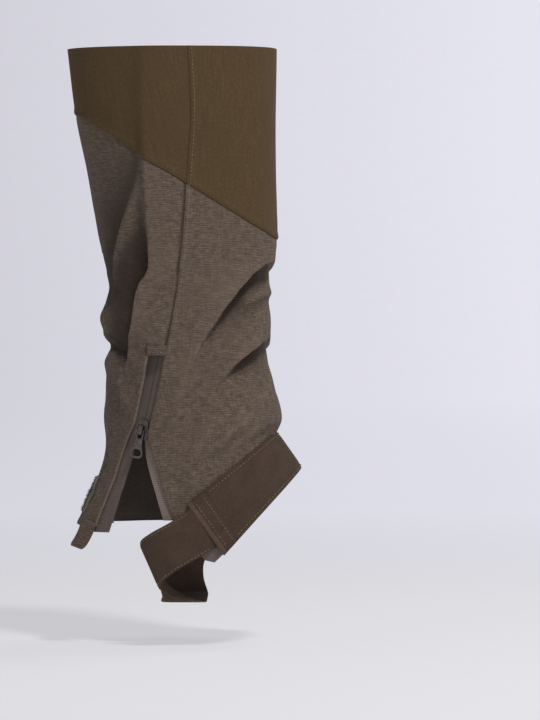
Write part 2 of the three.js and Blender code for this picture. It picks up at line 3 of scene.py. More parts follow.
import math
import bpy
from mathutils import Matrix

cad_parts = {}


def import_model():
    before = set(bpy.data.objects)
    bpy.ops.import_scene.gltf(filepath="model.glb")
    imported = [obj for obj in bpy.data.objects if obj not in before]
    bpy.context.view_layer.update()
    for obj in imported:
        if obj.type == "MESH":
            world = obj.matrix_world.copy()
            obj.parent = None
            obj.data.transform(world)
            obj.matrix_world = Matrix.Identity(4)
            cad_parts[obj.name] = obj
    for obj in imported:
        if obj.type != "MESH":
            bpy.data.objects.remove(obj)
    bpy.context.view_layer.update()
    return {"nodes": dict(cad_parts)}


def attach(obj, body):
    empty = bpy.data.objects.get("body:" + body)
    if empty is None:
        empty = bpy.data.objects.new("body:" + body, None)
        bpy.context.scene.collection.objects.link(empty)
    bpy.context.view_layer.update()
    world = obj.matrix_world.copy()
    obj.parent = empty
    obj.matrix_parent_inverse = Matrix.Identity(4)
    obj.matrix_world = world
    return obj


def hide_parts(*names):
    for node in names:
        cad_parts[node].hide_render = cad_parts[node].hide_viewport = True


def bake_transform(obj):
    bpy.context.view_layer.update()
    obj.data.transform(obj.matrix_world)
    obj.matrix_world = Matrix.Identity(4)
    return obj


bl_info = {
    "name": "Lower-leg gaiter",
    "version": (1, 0, 0),
    "blender": (4, 5, 0),
    "location": "3D View > Sidebar > Gaiter",
    "description": "Builds the cloth, seams, zip, band and strap of a lower-leg gaiter",
    "category": "Object",
}

import bmesh
import bpy
import numpy as np
from bpy.props import FloatProperty, FloatVectorProperty, PointerProperty
from mathutils import Matrix, Vector
from mathutils.geometry import tessellate_polygon

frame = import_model()

# All lengths below are in millimetres until a mesh is made.
MM = 0.001
OUTER, INNER = -1, 1  # the two sides of the leg, as the sign of y
UV = "cloth"  # cloth coordinates in millimetres over 100


# ---- curves through measured points ----
def smooth(points):
    """A smooth function through (at, value) points, straight beyond its ends."""
    x, y = np.array(sorted(points), float).T
    low = np.maximum(np.arange(len(x)) - 1, 0)
    high = np.minimum(np.arange(len(x)) + 1, len(x) - 1)
    slope = (y[high] - y[low]) / (x[high] - x[low])

    def value(at):
        at = np.asarray(at, float)
        i = np.clip(np.searchsorted(x, at) - 1, 0, len(x) - 2)
        span = x[i + 1] - x[i]
        s = (at - x[i]) / span
        s2, s3 = s * s, s * s * s
        inside = (
            (2 * s3 - 3 * s2 + 1) * y[i]
            + (s3 - 2 * s2 + s) * span * slope[i]
            + (3 * s2 - 2 * s3) * y[i + 1]
            + (s3 - s2) * span * slope[i + 1]
        )
        after = y[i + 1] + slope[i + 1] * (at - x[i + 1])
        return np.where(s < 0, y[i] + slope[i] * (at - x[i]), np.where(s > 1, after, inside))

    return value


def cornered(points):
    """A function through (at, value) points with straight stretches."""
    x, y = np.array(sorted(points), float).T
    first, last = (y[1] - y[0]) / (x[1] - x[0]), (y[-1] - y[-2]) / (x[-1] - x[-2])

    def value(at):
        at = np.asarray(at, float)
        inside = np.interp(at, x, y)
        inside = np.where(at < x[0], y[0] + first * (at - x[0]), inside)
        return np.where(at > x[-1], y[-1] + last * (at - x[-1]), inside)

    return value


def mix(a, b, s):
    return a + (b - a) * s


def ease(v, low, high):
    """0 below low, 1 above high, smooth between them."""
    t = np.clip((v - low) / (high - low), 0, 1)
    return t * t * (3 - 2 * t)


def unit(v):
    return v / np.maximum(np.linalg.norm(v, axis=-1, keepdims=True), 1e-12)


# ---- the sleeve, as the frame has it ----
TOP_DEPTH, HEM_DEPTH = 60.0, 56.0
FRONT_POWER, REAR_POWER = 2.7, 1.85
HEM_Z, CUFF_Z, ZIP_TOP_Z, SLIDER_Z = -367.0, -302.0, -234.5, -292.0
ZIP_HALF = 5.9
rear_x = smooth([
    (0, -80.5), (-50, -74.5), (-95, -66), (-146, -58.5), (-185, -53), (-213, -54.5),
    (-240, -50), (-282, -51.5), (-302, -50.5), (-318, -52.5), (-342, -62), (-367, -73),
])
front_x = smooth([
    (0, 81), (-95, 80.6), (-146, 80.5), (-180, 76), (-210, 77), (-236, 74),
    (-262, 80), (-284, 84), (-300, 80.5), (-367, 86),
])
middle_x = smooth([(0, 2), (-150, 4), (-290, 2), (-367, 0)])
depth = smooth([(0, TOP_DEPTH), (-180, mix(TOP_DEPTH, HEM_DEPTH, 0.6)), (-367, HEM_DEPTH)])


def signed_power(v, power):
    return np.sign(v) * np.abs(v) ** power


def sleeve(angle, z):
    """The bare sleeve's surface: angle 0 is the front, negative angles are on the outer side."""
    angle, z = np.broadcast_arrays(np.asarray(angle, float), np.asarray(z, float))
    c, s = np.cos(angle), np.sin(angle)
    power = np.where(c > 0, FRONT_POWER, REAR_POWER)
    reach = np.where(c > 0, front_x(z) - middle_x(z), middle_x(z) - rear_x(z))
    x = middle_x(z) + reach * signed_power(c, 2 / power)
    y = depth(z) * signed_power(s, 2 / power)
    return np.stack([x, y, z], -1)


def angle_at(x, z, side):
    ahead = x > middle_x(z)
    reach = np.where(ahead, front_x(z) - middle_x(z), middle_x(z) - rear_x(z))
    power = np.where(ahead, FRONT_POWER, REAR_POWER)
    c = signed_power((x - middle_x(z)) / reach, power / 2)
    return side * np.minimum(np.arccos(np.clip(c, -1, 1)), math.pi - 1e-6)


def sleeve_normal(angle, z):
    around = sleeve(angle + 0.02, z) - sleeve(angle - 0.02, z)
    up = sleeve(angle, z + 1.0) - sleeve(angle, z - 1.0)
    return unit(np.cross(around, up))


# Distance round the sleeve from its front, for every angle and height.
GIRTH_Z = np.linspace(-410, 10, 85)
GIRTH_ANGLE = np.linspace(-math.pi, math.pi, 721)
_ring = sleeve(GIRTH_ANGLE[None, :], GIRTH_Z[:, None])
_steps = np.linalg.norm(np.diff(_ring, axis=1), axis=-1)
GIRTH = np.concatenate([np.zeros((len(GIRTH_Z), 1)), np.cumsum(_steps, axis=1)], axis=1)
GIRTH -= GIRTH[:, 360:361]


def girth(angle, z):
    """Millimetres round the sleeve from the front; negative on the outer side."""
    turn = (np.asarray(angle, float) + math.pi) % (2 * math.pi) - math.pi
    a = (turn + math.pi) / (2 * math.pi) * 720
    h = np.clip((np.asarray(z, float) - GIRTH_Z[0]) / (GIRTH_Z[1] - GIRTH_Z[0]), 0, 83.999)
    a, h = np.broadcast_arrays(a, h)
    i, j = np.minimum(a.astype(int), 719), h.astype(int)
    p, q = a - i, h - j
    low = mix(GIRTH[j, i], GIRTH[j, i + 1], p)
    return mix(low, mix(GIRTH[j + 1, i], GIRTH[j + 1, i + 1], p), q)


def full_girth(z):
    return np.interp(z, GIRTH_Z, GIRTH[:, -1] - GIRTH[:, 0])


# ---- seam and edge lines ----
def zip_middle_x(z):
    return cornered([(ZIP_TOP_Z, -9.35), (SLIDER_Z, -22.4)])(z)


_seam = smooth([
    (0, 13.2), (-50, 15.5), (-103, 12.4), (-147, 9.3), (-186, 5), (-217, 0), (ZIP_TOP_Z, -9.35 + ZIP_HALF),
])
_front_lower = smooth([(-296, -17.4), (-303, -16.4), (-320, -11), (-341, -4.9), (-363, 3.4)])
_rear_lower = smooth([(-288, -27.4), (-302, -33.5), (-329, -42.5), (-352, -51.2), (-367, -57)])
inner_seam_x = smooth([
    (0, 13.2), (-50, 15.5), (-103, 12.4), (-147, 9.3), (-186, 5), (-240, -4), (-300, -9), (-363, -4),
])
front_tape_x = smooth([(SLIDER_Z, -21.6), (-301, -20.9), (-320, -18.2), (-341, -12), (-363, -5.2)])
rear_tape_x = smooth([(SLIDER_Z, -23.2), (-301, -27.4), (-316, -32.0), (-341, -39.7), (-366, -47.4)])
hem_line = cornered([(-60, -398), (-7, -364), (15.3, -352.2), (79.9, -299.3), (100, -282.8)])


def front_edge_x(z):
    z = np.asarray(z, float)
    closed = np.where(z > -296, zip_middle_x(z) + ZIP_HALF, _front_lower(z))
    return np.where(z > ZIP_TOP_Z, _seam(z), closed)


def rear_edge_x(z):
    z = np.asarray(z, float)
    return np.where(z > -288, zip_middle_x(z) - ZIP_HALF, _rear_lower(z))


def yoke_line(x):
    return -96.3 - 0.62 * x


def height_where(line):
    """The height, for every angle, at which the sleeve meets a line given by x."""
    angles = np.linspace(-math.pi, math.pi, 721)
    z = line(np.zeros(721))
    for _ in range(40):
        z = mix(z, line(sleeve(angles, z)[..., 0]), 0.6)

    def value(angle):
        return np.interp((np.asarray(angle) + math.pi) % (2 * math.pi) - math.pi, angles, z)

    return value


yoke_at, hem_at = height_where(yoke_line), height_where(hem_line)


# ---- folds ----
# Each fold is a path of (x, z, height of its crest, depth of the hollow beside it) on one side of the leg.
# Walking along the path, the crest falls away over `left` millimetres to the left and drops over `drop`
# millimetres (or a point's fifth number) on the right into a hollow that fades over `right`.
FOLDS = [
    # corner between the flat side and the rear; further down it folds sharply over a pocket
    dict(side=OUTER, left=18, drop=8, right=32, over=2.2, path=[
        (-19, 6, 1.4, 1.8, 9), (-19, -50, 1.8, 2.6, 8), (-18, -84, 2.4, 3.4, 6), (-16.5, -112, 2.6, 3.2, 5),
        (-15, -136, 3.0, 5.5, 5), (-13.5, -156, 3.6, 12, 4), (-13, -169, 3.8, 14, 3.4), (-16, -176.5, 3.8, 14, 3),
        (-20.5, -182.5, 4.0, 14, 3), (-23.5, -197, 4.0, 14.5, 3), (-26.5, -215, 3.8, 14, 3), (-30, -234, 2.6, 8, 3),
        (-33, -248, 0, 0, 3)]),
    # crease that closes the shaded rear plane
    dict(side=OUTER, left=10, drop=5, right=26, over=0.8, path=[
        (-20, -88, 0.0, 1.0), (-27, -112, 1.8, 4.0), (-37, -138, 2.8, 5.5), (-44, -160, 3.0, 5.0),
        (-48, -182, 1.6, 2.6), (-51, -197, 0.0, 0.0)]),
    # fold over the instep, with a deep hollow below its edge
    dict(side=OUTER, left=22, drop=3.4, right=17, over=3.6, path=[
        (6, -262, 0.0, 0.0), (15, -240, 1.8, 2.6), (26, -216, 3.0, 6.0), (37, -198, 3.8, 9.0),
        (48, -183, 4.2, 12.0), (59, -170, 4.4, 15.0), (70, -162, 3.8, 13.0), (90, -158, 1.4, 4.0)]),
    # second fold over the instep
    dict(side=OUTER, left=17, drop=3.0, right=11, over=3.2, path=[
        (28, -264, 0.0, 0.0), (38, -251, 2.2, 4.0), (48, -239, 3.2, 9.0), (58, -230, 3.8, 12.0),
        (67, -223, 3.6, 12.0), (90, -219, 1.4, 3.6)]),
    # small rise inside the first hollow
    dict(side=OUTER, left=6, drop=4, right=9, over=0.0, path=[
        (54, -199, 0.0, 0.0), (62, -193, 3.0, 1.0), (70, -189, 4.4, 1.4), (90, -187, 1.6, 0.6)]),
    # soft wrinkles that run down towards the heel
    dict(side=OUTER, left=8, drop=5, right=9, over=0.8, path=[
        (-2, -292, 0.0, 0.0), (8, -270, 2.4, 2.4), (20, -250, 2.6, 3.2), (30, -232, 1.2, 1.6), (40, -218, 0.0, 0.0)]),
    dict(side=OUTER, left=9, drop=6, right=10, over=0.6, path=[
        (22, -322, 0.0, 0.0), (38, -300, 2.8, 2.6), (56, -282, 2.6, 2.4), (76, -270, 0.0, 0.0)]),
    dict(side=OUTER, left=8, drop=4.5, right=9, over=0.6, path=[
        (4, -334, 0.0, 0.0), (18, -312, 2.6, 2.6), (28, -294, 2.8, 2.6), (42, -274, 0.0, 0.0)]),
    dict(side=OUTER, left=8, drop=5, right=8, over=0.4, path=[
        (46, -312, 0.0, 0.0), (58, -297, 2.4, 2.2), (72, -287, 2.2, 1.8), (90, -284, 0.0, 0.0)]),
    dict(side=OUTER, left=7, drop=4, right=8, over=0.5, path=[
        (-2, -268, 0.0, 0.0), (6, -256, 2.0, 2.4), (15, -242, 2.0, 2.2), (22, -228, 0.0, 0.0)]),
    # short crease round the heel, above the cuff
    dict(side=OUTER, left=8, drop=2.8, right=9, over=1.5, path=[
        (-31, -246, 0.0, 0.0), (-36, -240, 1.2, 2.0), (-43, -237.5, 2.4, 5.0), (-80, -233, 1.0, 3.0)]),
    # short creases in front of the zip
    dict(side=OUTER, left=7, drop=3.5, right=7, over=0.8, path=[
        (-3, -278, 0.0, 0.0), (5, -267, 1.6, 2.6), (13, -257, 1.6, 2.8), (24, -246, 0.0, 0.0)]),
    dict(side=OUTER, left=8, drop=5, right=8, over=0.5, path=[
        (20, -286, 0.0, 0.0), (30, -276, 1.4, 1.6), (42, -262, 1.4, 1.6), (54, -254, 0.0, 0.0)]),
    # the rear cuff's own waves
    dict(side=OUTER, left=5, drop=4, right=7, over=0.5, path=[
        (-42, -243, 0.0, 0.0), (-39, -256, 2.6, 2.8), (-36, -268, 2.8, 3.0), (-30, -280, 0.6, 0.6)]),
    dict(side=OUTER, left=7, drop=5, right=8, over=0.4, path=[
        (-46, -262, 0.0, 0.0), (-47, -278, 2.2, 3.0), (-46, -300, 2.0, 2.4), (-49, -334, 0.0, 0.0)]),
    # inner side
    dict(side=INNER, left=20, drop=4, right=16, over=3.0, path=[
        (90, -162, 1.6, 4.0), (70, -170, 3.4, 9.0), (50, -192, 2.8, 5.0), (30, -216, 1.8, 2.4),
        (12, -240, 0.0, 0.0)]),
    dict(side=INNER, left=17, drop=3.6, right=13, over=2.5, path=[
        (90, -222, 1.6, 3.6), (68, -232, 2.8, 7.0), (52, -246, 1.8, 3.0), (38, -262, 0.0, 0.0)]),
    dict(side=INNER, left=8, drop=3.5, right=9, over=1.5, path=[
        (-80, -231, 0.8, 2.0), (-44, -234, 2.4, 5.0), (-36, -236, 1.6, 3.4), (-28, -242, 0.0, 0.0)]),
    dict(side=INNER, left=24, drop=10, right=26, over=1.0, path=[
        (-26, -236, 0.0, 0.0), (-26, -210, 2.6, 5.6), (-23, -180, 3.2, 7.0), (-20, -150, 3.2, 5.0),
        (-18, -110, 2.6, 3.4), (-20, -50, 1.8, 2.4), (-20, 6, 1.2, 1.6)]),
    dict(side=INNER, left=9, drop=7, right=14, over=0.5, path=[
        (-52, -196, 0.0, 0.0), (-48, -180, 2.4, 3.4), (-36, -150, 1.6, 2.0), (-28, -124, 0.0, 0.0)]),
    dict(side=INNER, left=12, drop=8, right=12, over=0.5, path=[
        (70, -276, 0.0, 0.0), (50, -290, 1.8, 1.6), (30, -306, 1.8, 1.6), (12, -326, 0.0, 0.0)]),
    dict(side=INNER, left=10, drop=7, right=10, over=0.5, path=[
        (40, -262, 0.0, 0.0), (24, -276, 1.6, 1.4), (8, -296, 1.4, 1.2), (-4, -316, 0.0, 0.0)]),
]


def fold_field(fold, g, z):
    """One fold's height, and how far its crest leans over (round the leg, and up), at places by girth and z."""
    points = np.array([(*p, fold["drop"])[:5] for p in fold["path"]], float)
    angles = angle_at(points[:, 0], points[:, 1], fold["side"])
    rounds = girth(angles, points[:, 1])
    rounds = fold["side"] * np.clip(np.abs(rounds), 7, full_girth(points[:, 1]) / 2 - 7)
    nodes = np.stack([rounds, points[:, 1]], -1)
    best = np.full(g.shape, 1e9)
    aside, beyond, crest, hollow = (np.zeros(g.shape) for _ in range(4))
    steep = np.ones(g.shape)
    right_g, right_z = np.zeros(g.shape), np.zeros(g.shape)
    last = len(nodes) - 2
    for k, (a, b, pa, pb) in enumerate(zip(nodes, nodes[1:], points, points[1:])):
        run = b - a
        length = math.hypot(*run)
        free = ((g - a[0]) * run[0] + (z - a[1]) * run[1]) / length**2
        t = np.clip(free, 0, 1)
        dg, dz = g - a[0] - t * run[0], z - a[1] - t * run[1]
        distance = np.hypot(dg, dz)
        near = distance < best
        best = np.where(near, distance, best)
        aside = np.where(near, (run[0] * dz - run[1] * dg) / length, aside)
        past = (np.maximum(-free, 0) * (k == 0) + np.maximum(free - 1, 0) * (k == last)) * length
        beyond = np.where(near, past, beyond)
        crest = np.where(near, mix(pa[2], pb[2], t), crest)
        steep = np.where(near, mix(pa[4], pb[4], t), steep)
        hollow = np.where(near, mix(pa[3], pb[3], t), hollow)
        right_g = np.where(near, run[1] / length, right_g)
        right_z = np.where(near, -run[0] / length, right_z)
    soft = 1.2
    fade = np.exp(-((beyond / 9) ** 2))
    left = ease(aside / (beyond + 0.01), -1, 1)
    wall = np.exp(-((best / steep) ** 2))
    rise = crest * np.exp(-(np.sqrt(best**2 + soft**2) - soft) / fold["left"])
    drop = (crest + hollow) * wall - hollow * np.exp(-best / fold["right"])
    lean = fade * fold["over"] * crest / 4 * mix(wall, np.exp(-((best / 9) ** 2)), left)
    return fade * mix(drop, rise, left), lean * right_g, lean * right_z


def lattice(seed, shape):
    return np.random.default_rng(seed).uniform(-1, 1, shape)


def waves(u, v, seed, size=64):
    """Smooth seeded noise from -1 to 1 with one wave per unit."""
    grid = lattice(seed, (size, size))
    iu, iv = np.floor(u).astype(int), np.floor(v).astype(int)
    fu, fv = u - iu, v - iv
    fu, fv = fu * fu * (3 - 2 * fu), fv * fv * (3 - 2 * fv)
    a, b = grid[iu % size, iv % size], grid[(iu + 1) % size, iv % size]
    c, d = grid[iu % size, (iv + 1) % size], grid[(iu + 1) % size, (iv + 1) % size]
    return mix(mix(a, b, fu), mix(c, d, fu), fv)


def worn(angle, z):
    """How far the worn cloth stands out from the bare sleeve, and how far it has slipped round and up."""
    g, around = girth(angle, z), full_girth(z)
    g, z, around = np.broadcast_arrays(g, z, around)
    height, slip_g, slip_z = np.zeros(g.shape), np.zeros(g.shape), np.zeros(g.shape)
    scale = sizes().fold_scale
    for fold in FOLDS:
        for turn in (-1, 0, 1):
            rise, lean_g, lean_z = fold_field(fold, g + turn * around, z)
            height, slip_g, slip_z = height + scale * rise, slip_g + scale * lean_g, slip_z + scale * lean_z
    lower = ease(-z, 100, 190)
    along, across = 0.62 * g + 0.78 * z, 0.78 * g - 0.62 * z
    rear = np.exp(-(((around / 2 - np.abs((g + around / 2) % around - around / 2)) / 42) ** 2))
    for at, wide, out in ((-184, 8, -2.2), (-207, 10, 3.6), (-230.5, 5.5, -4.6), (-243, 6, 1.6)):
        height = height + rear * out * np.exp(-(((z - at) / wide) ** 2))
    height = height + lower * 1.15 * waves(across / 13, along / 38, 3)
    height = height + 0.4 * lower * waves(g / 9, z / 9, 5) + 0.6 * waves(g / 42, z / 60, 7)
    edge = ease(-z, 0, 30) * ease(z, HEM_Z, HEM_Z + 30)
    return height, slip_g * edge, slip_z * edge


def relief(angle, z):
    return worn(angle, z)[0]


def cloth(angle, z, lift=0.0):
    """A place on the worn cloth, lift millimetres outside it."""
    height, slip_g, slip_z = worn(angle, z)
    rate = (girth(angle + 0.01, z) - girth(angle - 0.01, z)) / 0.02
    rate = np.where(np.abs(rate) < 20, 50.0, rate)
    angle, z = angle + slip_g / np.maximum(rate, 20), z + slip_z
    return sleeve(angle, z) + sleeve_normal(angle, z) * (height + lift)[..., None]


def cloth_frame(angle, z, lift=0.0):
    """Place and outward normal on the worn cloth."""
    step, rise = 0.012, 0.7
    around = cloth(angle + step, z) - cloth(angle - step, z)
    up = cloth(angle, z + rise) - cloth(angle, z - rise)
    normal = unit(np.cross(around, up))
    return cloth(angle, z) + normal * np.asarray(lift, float)[..., None], normal


# ---- settings ----
def length_property(name, description, millimetres):
    return FloatProperty(name=name, description=description, default=millimetres * MM, unit="LENGTH")


class GaiterSizes(bpy.types.PropertyGroup):
    cloth_thickness: length_property("Cloth", "Thickness of the panels", 1.0)
    mesh_step: length_property("Mesh step", "Spacing of the cloth's mesh", 1.7)
    fold_scale: FloatProperty(name="Folds", description="Height of the folds as a share of the drawn ones", default=1.0)
    rib_pitch: length_property("Rib pitch", "Distance between the lower cloth's ribs", 1.75)
    stitch_pitch: length_property("Stitch pitch", "Length of one stitch and its gap", 3.0)
    thread_radius: length_property("Thread", "Radius of the sewing thread", 0.24)
    tooth_pitch: length_property("Tooth pitch", "Distance between the zip's teeth", 1.35)
    pile_length: length_property("Pile", "Length of the loop tape's pile", 1.6)


def colour_property(name, description, value):
    return FloatVectorProperty(name=name, description=description, default=value, subtype="COLOR", min=0, max=1)


class GaiterColours(bpy.types.PropertyGroup):
    olive: colour_property("Olive", "Upper cloth", (0.094, 0.061, 0.029))
    taupe: colour_property("Taupe", "Lower cloth", (0.142, 0.105, 0.079))
    band: colour_property("Band", "Instep band and strap", (0.07, 0.046, 0.033))
    tape: colour_property("Tape", "Zip tape", (0.105, 0.085, 0.072))
    pale_tape: colour_property("Pale tape", "Front zip tape's edge and strap tab", (0.21, 0.165, 0.145))
    thread: colour_property("Thread", "Sewing thread", (0.2, 0.15, 0.1))
    metal: colour_property("Metal", "Slider and pull", (0.15, 0.127, 0.115))
    pile: colour_property("Pile", "Hook and loop tape", (0.095, 0.082, 0.05))
    lining: colour_property("Lining", "Inner faces", (0.062, 0.05, 0.041))


def sizes():
    return bpy.context.scene.gaiter_sizes


def colours():
    return bpy.context.scene.gaiter_colours


# ---- materials ----
class Nodes:
    """A material's node tree with short ways to add and join nodes."""

    def __init__(self, name):
        self.material = bpy.data.materials.new(name)
        self.material.use_nodes = True
        self.tree = self.material.node_tree
        self.shader = self.tree.nodes["Principled BSDF"]

    def add(self, kind, inputs=(), **settings):
        node = self.tree.nodes.new(kind)
        for key, value in settings.items():
            setattr(node, key, value)
        for key, value in dict(inputs).items():
            self.join(value, node.inputs[key])
        return node

    def join(self, value, socket):
        if isinstance(value, bpy.types.NodeSocket):
            self.tree.links.new(value, socket)
        else:
            socket.default_value = value

    def math(self, operation, *values):
        return self.add("ShaderNodeMath", dict(enumerate(values)), operation=operation).outputs[0]

    def mix(self, share, a, b):
        node = self.add("ShaderNodeMix", data_type="RGBA")
        for socket, value in ((0, share), (6, a), (7, b)):
            self.join(value, node.inputs[socket])
        return node.outputs[2]

    def ramp(self, value, low, high):
        node = self.add("ShaderNodeMapRange", {0: value, 1: low, 2: high, 3: 0.0, 4: 1.0})
        return node.outputs[0]

    def bump(self, height, distance, strength=1.0):
        node = self.add("ShaderNodeBump", {"Height": height, "Distance": distance, "Strength": strength})
        self.join(node.outputs[0], self.shader.inputs["Normal"])

    def noise(self, vector, scale, detail=3.0, rough=0.5):
        inputs = {"Vector": vector, "Scale": scale, "Detail": detail, "Roughness": rough}
        return self.add("ShaderNodeTexNoise", inputs).outputs[0]

    def stretched(self, vector, across, up, detail=3.0, rough=0.5):
        """Noise with its own number of waves per millimetre across and up the cloth."""
        scaled = self.add("ShaderNodeVectorMath", {0: vector, 1: (across, up, 1.0)}, operation="MULTIPLY")
        return self.noise(scaled.outputs[0], 1.0, detail, rough)

    def object_place(self):
        return self.add("ShaderNodeTexCoord").outputs["Object"]

    def cloth_place(self):
        """Cloth coordinates in millimetres, whole and as u and v."""
        uv = self.add("ShaderNodeUVMap", uv_map=UV).outputs[0]
        scaled = self.add("ShaderNodeVectorMath", {0: uv, 1: (100.0, 100.0, 100.0)}, operation="MULTIPLY").outputs[0]
        parts = self.add("ShaderNodeSeparateXYZ", {0: scaled})
        return scaled, parts.outputs[0], parts.outputs[1]

    def wave(self, place, pitch):
        """From 0 to 1 and back once per pitch."""
        turn = self.math("MULTIPLY", place, 2 * math.pi / pitch)
        return self.math("MULTIPLY_ADD", self.math("SINE", turn), 0.5, 0.5)


def painted_shade_and_highlight(n, colour, base, depth=0.5):
    """Paints shade into the folds' hollows and in lines beside seams, and paints the folds' crests and turned edges
    paler as painted highlights, from the shade attribute.
    """
    shade = n.add("ShaderNodeAttribute", attribute_name="shade").outputs["Fac"]
    # Painted shade where the shade attribute is above 0; painted highlight where it is below 0.
    dark = n.math("MULTIPLY", n.math("MAXIMUM", shade, 0.0), depth)
    painted_light = n.math("MULTIPLY", n.math("MAXIMUM", n.math("MULTIPLY", shade, -1.0), 0.0), 0.55)
    return n.mix(painted_light, n.mix(dark, colour, tone(base, 0.3)), tone(base, 1.5))


def tone(colour, factor):
    return (*[min(1.0, c * factor) for c in colour], 1.0)


def finish_fabric(n, roughness, sheen):
    n.shader.inputs["Roughness"].default_value = roughness
    n.shader.inputs["Sheen Weight"].default_value = sheen
    n.shader.inputs["Sheen Roughness"].default_value = 0.5
    n.shader.inputs["Specular IOR Level"].default_value = 0.12
    return n.material


def olive_twill():
    n = Nodes("olive_twill")
    place, u, v = n.cloth_place()
    diagonal = n.math("ADD", n.math("MULTIPLY", u, 1.0), n.math("MULTIPLY", v, 0.55))
    twill = n.wave(diagonal, 1.1)
    threads = n.wave(u, 0.7)
    streaks = n.stretched(place, 1.3, 0.045)
    cloudy = n.noise(place, 0.035, 4.0)
    blotch = n.noise(place, 0.5, 4.0)
    colour = n.mix(n.ramp(streaks, 0.35, 0.66), tone(colours().olive, 0.86), tone(colours().olive, 1.14))
    colour = n.mix(n.math("MULTIPLY", n.ramp(blotch, 0.46, 0.62), 0.35), colour, tone(colours().olive, 0.72))
    colour = n.mix(n.math("MULTIPLY", n.ramp(blotch, 0.48, 0.34), 0.35), colour, tone(colours().olive, 1.35))
    colour = n.mix(n.math("MULTIPLY", twill, 0.25), colour, tone(colours().olive, 0.72))
    colour = n.mix(n.math("MULTIPLY", n.ramp(cloudy, 0.42, 0.66), 0.35), colour, tone(colours().olive, 0.84))
    # The folds' painted shade and painted highlights go into the olive colour here.
    n.join(painted_shade_and_highlight(n, colour, colours().olive, 0.4), n.shader.inputs["Base Color"])
    n.bump(n.math("ADD", n.math("MULTIPLY", twill, 0.7), n.math("MULTIPLY", threads, 0.3)), 0.00008)
    return finish_fabric(n, 0.88, 0.02)


def taupe_rib():
    n = Nodes("taupe_rib")
    base = colours().taupe
    place, u, v = n.cloth_place()
    slow = n.stretched(place, 0.05, 0.12, 2.0, 0.5)
    rib = n.wave(n.math("ADD", v, n.math("MULTIPLY", slow, 1.6)), sizes().rib_pitch / MM)
    threads = n.wave(u, 0.62)
    flecks = n.stretched(place, 0.5, 1.9, 4.0, 0.7)
    grain = n.stretched(place, 1.7, 0.6, 3.0, 0.6)
    mottle = n.stretched(place, 0.16, 0.2, 5.0, 0.65)
    cloudy = n.stretched(place, 0.035, 0.03, 4.0, 0.55)
    colour = n.mix(n.ramp(flecks, 0.34, 0.66), tone(base, 0.66), tone(base, 1.42))
    colour = n.mix(n.math("MULTIPLY", n.ramp(grain, 0.45, 0.7), 0.3), colour, tone(base, 1.5))
    patches = n.math("MULTIPLY_ADD", n.ramp(mottle, 0.35, 0.62), 0.34, 0.2)
    colour = n.mix(n.math("MULTIPLY", rib, patches), colour, tone(base, 0.45))
    colour = n.mix(n.math("MULTIPLY", n.ramp(mottle, 0.42, 0.66), 0.55), colour, tone(base, 0.55))
    streak = n.stretched(place, 0.17, 0.95, 3.0, 0.6)
    colour = n.mix(n.math("MULTIPLY", n.ramp(streak, 0.48, 0.64), 0.55), colour, tone(base, 0.5))
    colour = n.mix(n.math("MULTIPLY", n.ramp(streak, 0.48, 0.34), 0.5), colour, tone(base, 1.7))
    slub = n.stretched(place, 0.75, 0.1, 3.0, 0.6)
    colour = n.mix(n.math("MULTIPLY", n.ramp(slub, 0.5, 0.66), 0.3), colour, tone(base, 0.55))
    colour = n.mix(n.math("MULTIPLY", n.ramp(slub, 0.48, 0.34), 0.25), colour, tone(base, 1.6))
    colour = n.mix(n.math("MULTIPLY", n.ramp(cloudy, 0.4, 0.7), 0.35), colour, tone(base, 0.72))
    # The folds' painted shade and painted highlights go into the taupe colour here.
    n.join(painted_shade_and_highlight(n, colour, base, 0.82), n.shader.inputs["Base Color"])
    height = n.math("MULTIPLY_ADD", rib, -0.6, n.math("MULTIPLY", threads, 0.25))
    height = n.math("ADD", height, n.math("MULTIPLY", flecks, 0.6))
    n.bump(n.math("ADD", height, n.math("MULTIPLY", mottle, 1.6)), 0.0002)
    return finish_fabric(n, 0.92, 0.03)


def band_weave(name="band_weave", colour_name="band", factor=1.0, pitch=0.95):
    n = Nodes(name)
    base = tuple(c * factor for c in getattr(colours(), colour_name))
    place, u, v = n.cloth_place()
    weave = n.math("MULTIPLY", n.wave(u, pitch), n.wave(v, pitch))
    flecks = n.noise(place, 0.9, 4.0, 0.6)
    cloudy = n.noise(place, 0.06, 4.0)
    blotch = n.noise(place, 0.32, 4.0, 0.6)
    colour = n.mix(n.ramp(flecks, 0.35, 0.7), tone(base, 0.76), tone(base, 1.28))
    colour = n.mix(n.math("MULTIPLY", weave, 0.45), colour, tone(base, 0.58))
    colour = n.mix(n.math("MULTIPLY", n.ramp(blotch, 0.46, 0.64), 0.35), colour, tone(base, 0.66))
    colour = n.mix(n.math("MULTIPLY", n.ramp(cloudy, 0.4, 0.7), 0.4), colour, tone(base, 1.4))
    n.join(colour, n.shader.inputs["Base Color"])
    n.bump(n.math("MULTIPLY_ADD", weave, -0.6, flecks), 0.00012)
    return finish_fabric(n, 0.9, 0.03)


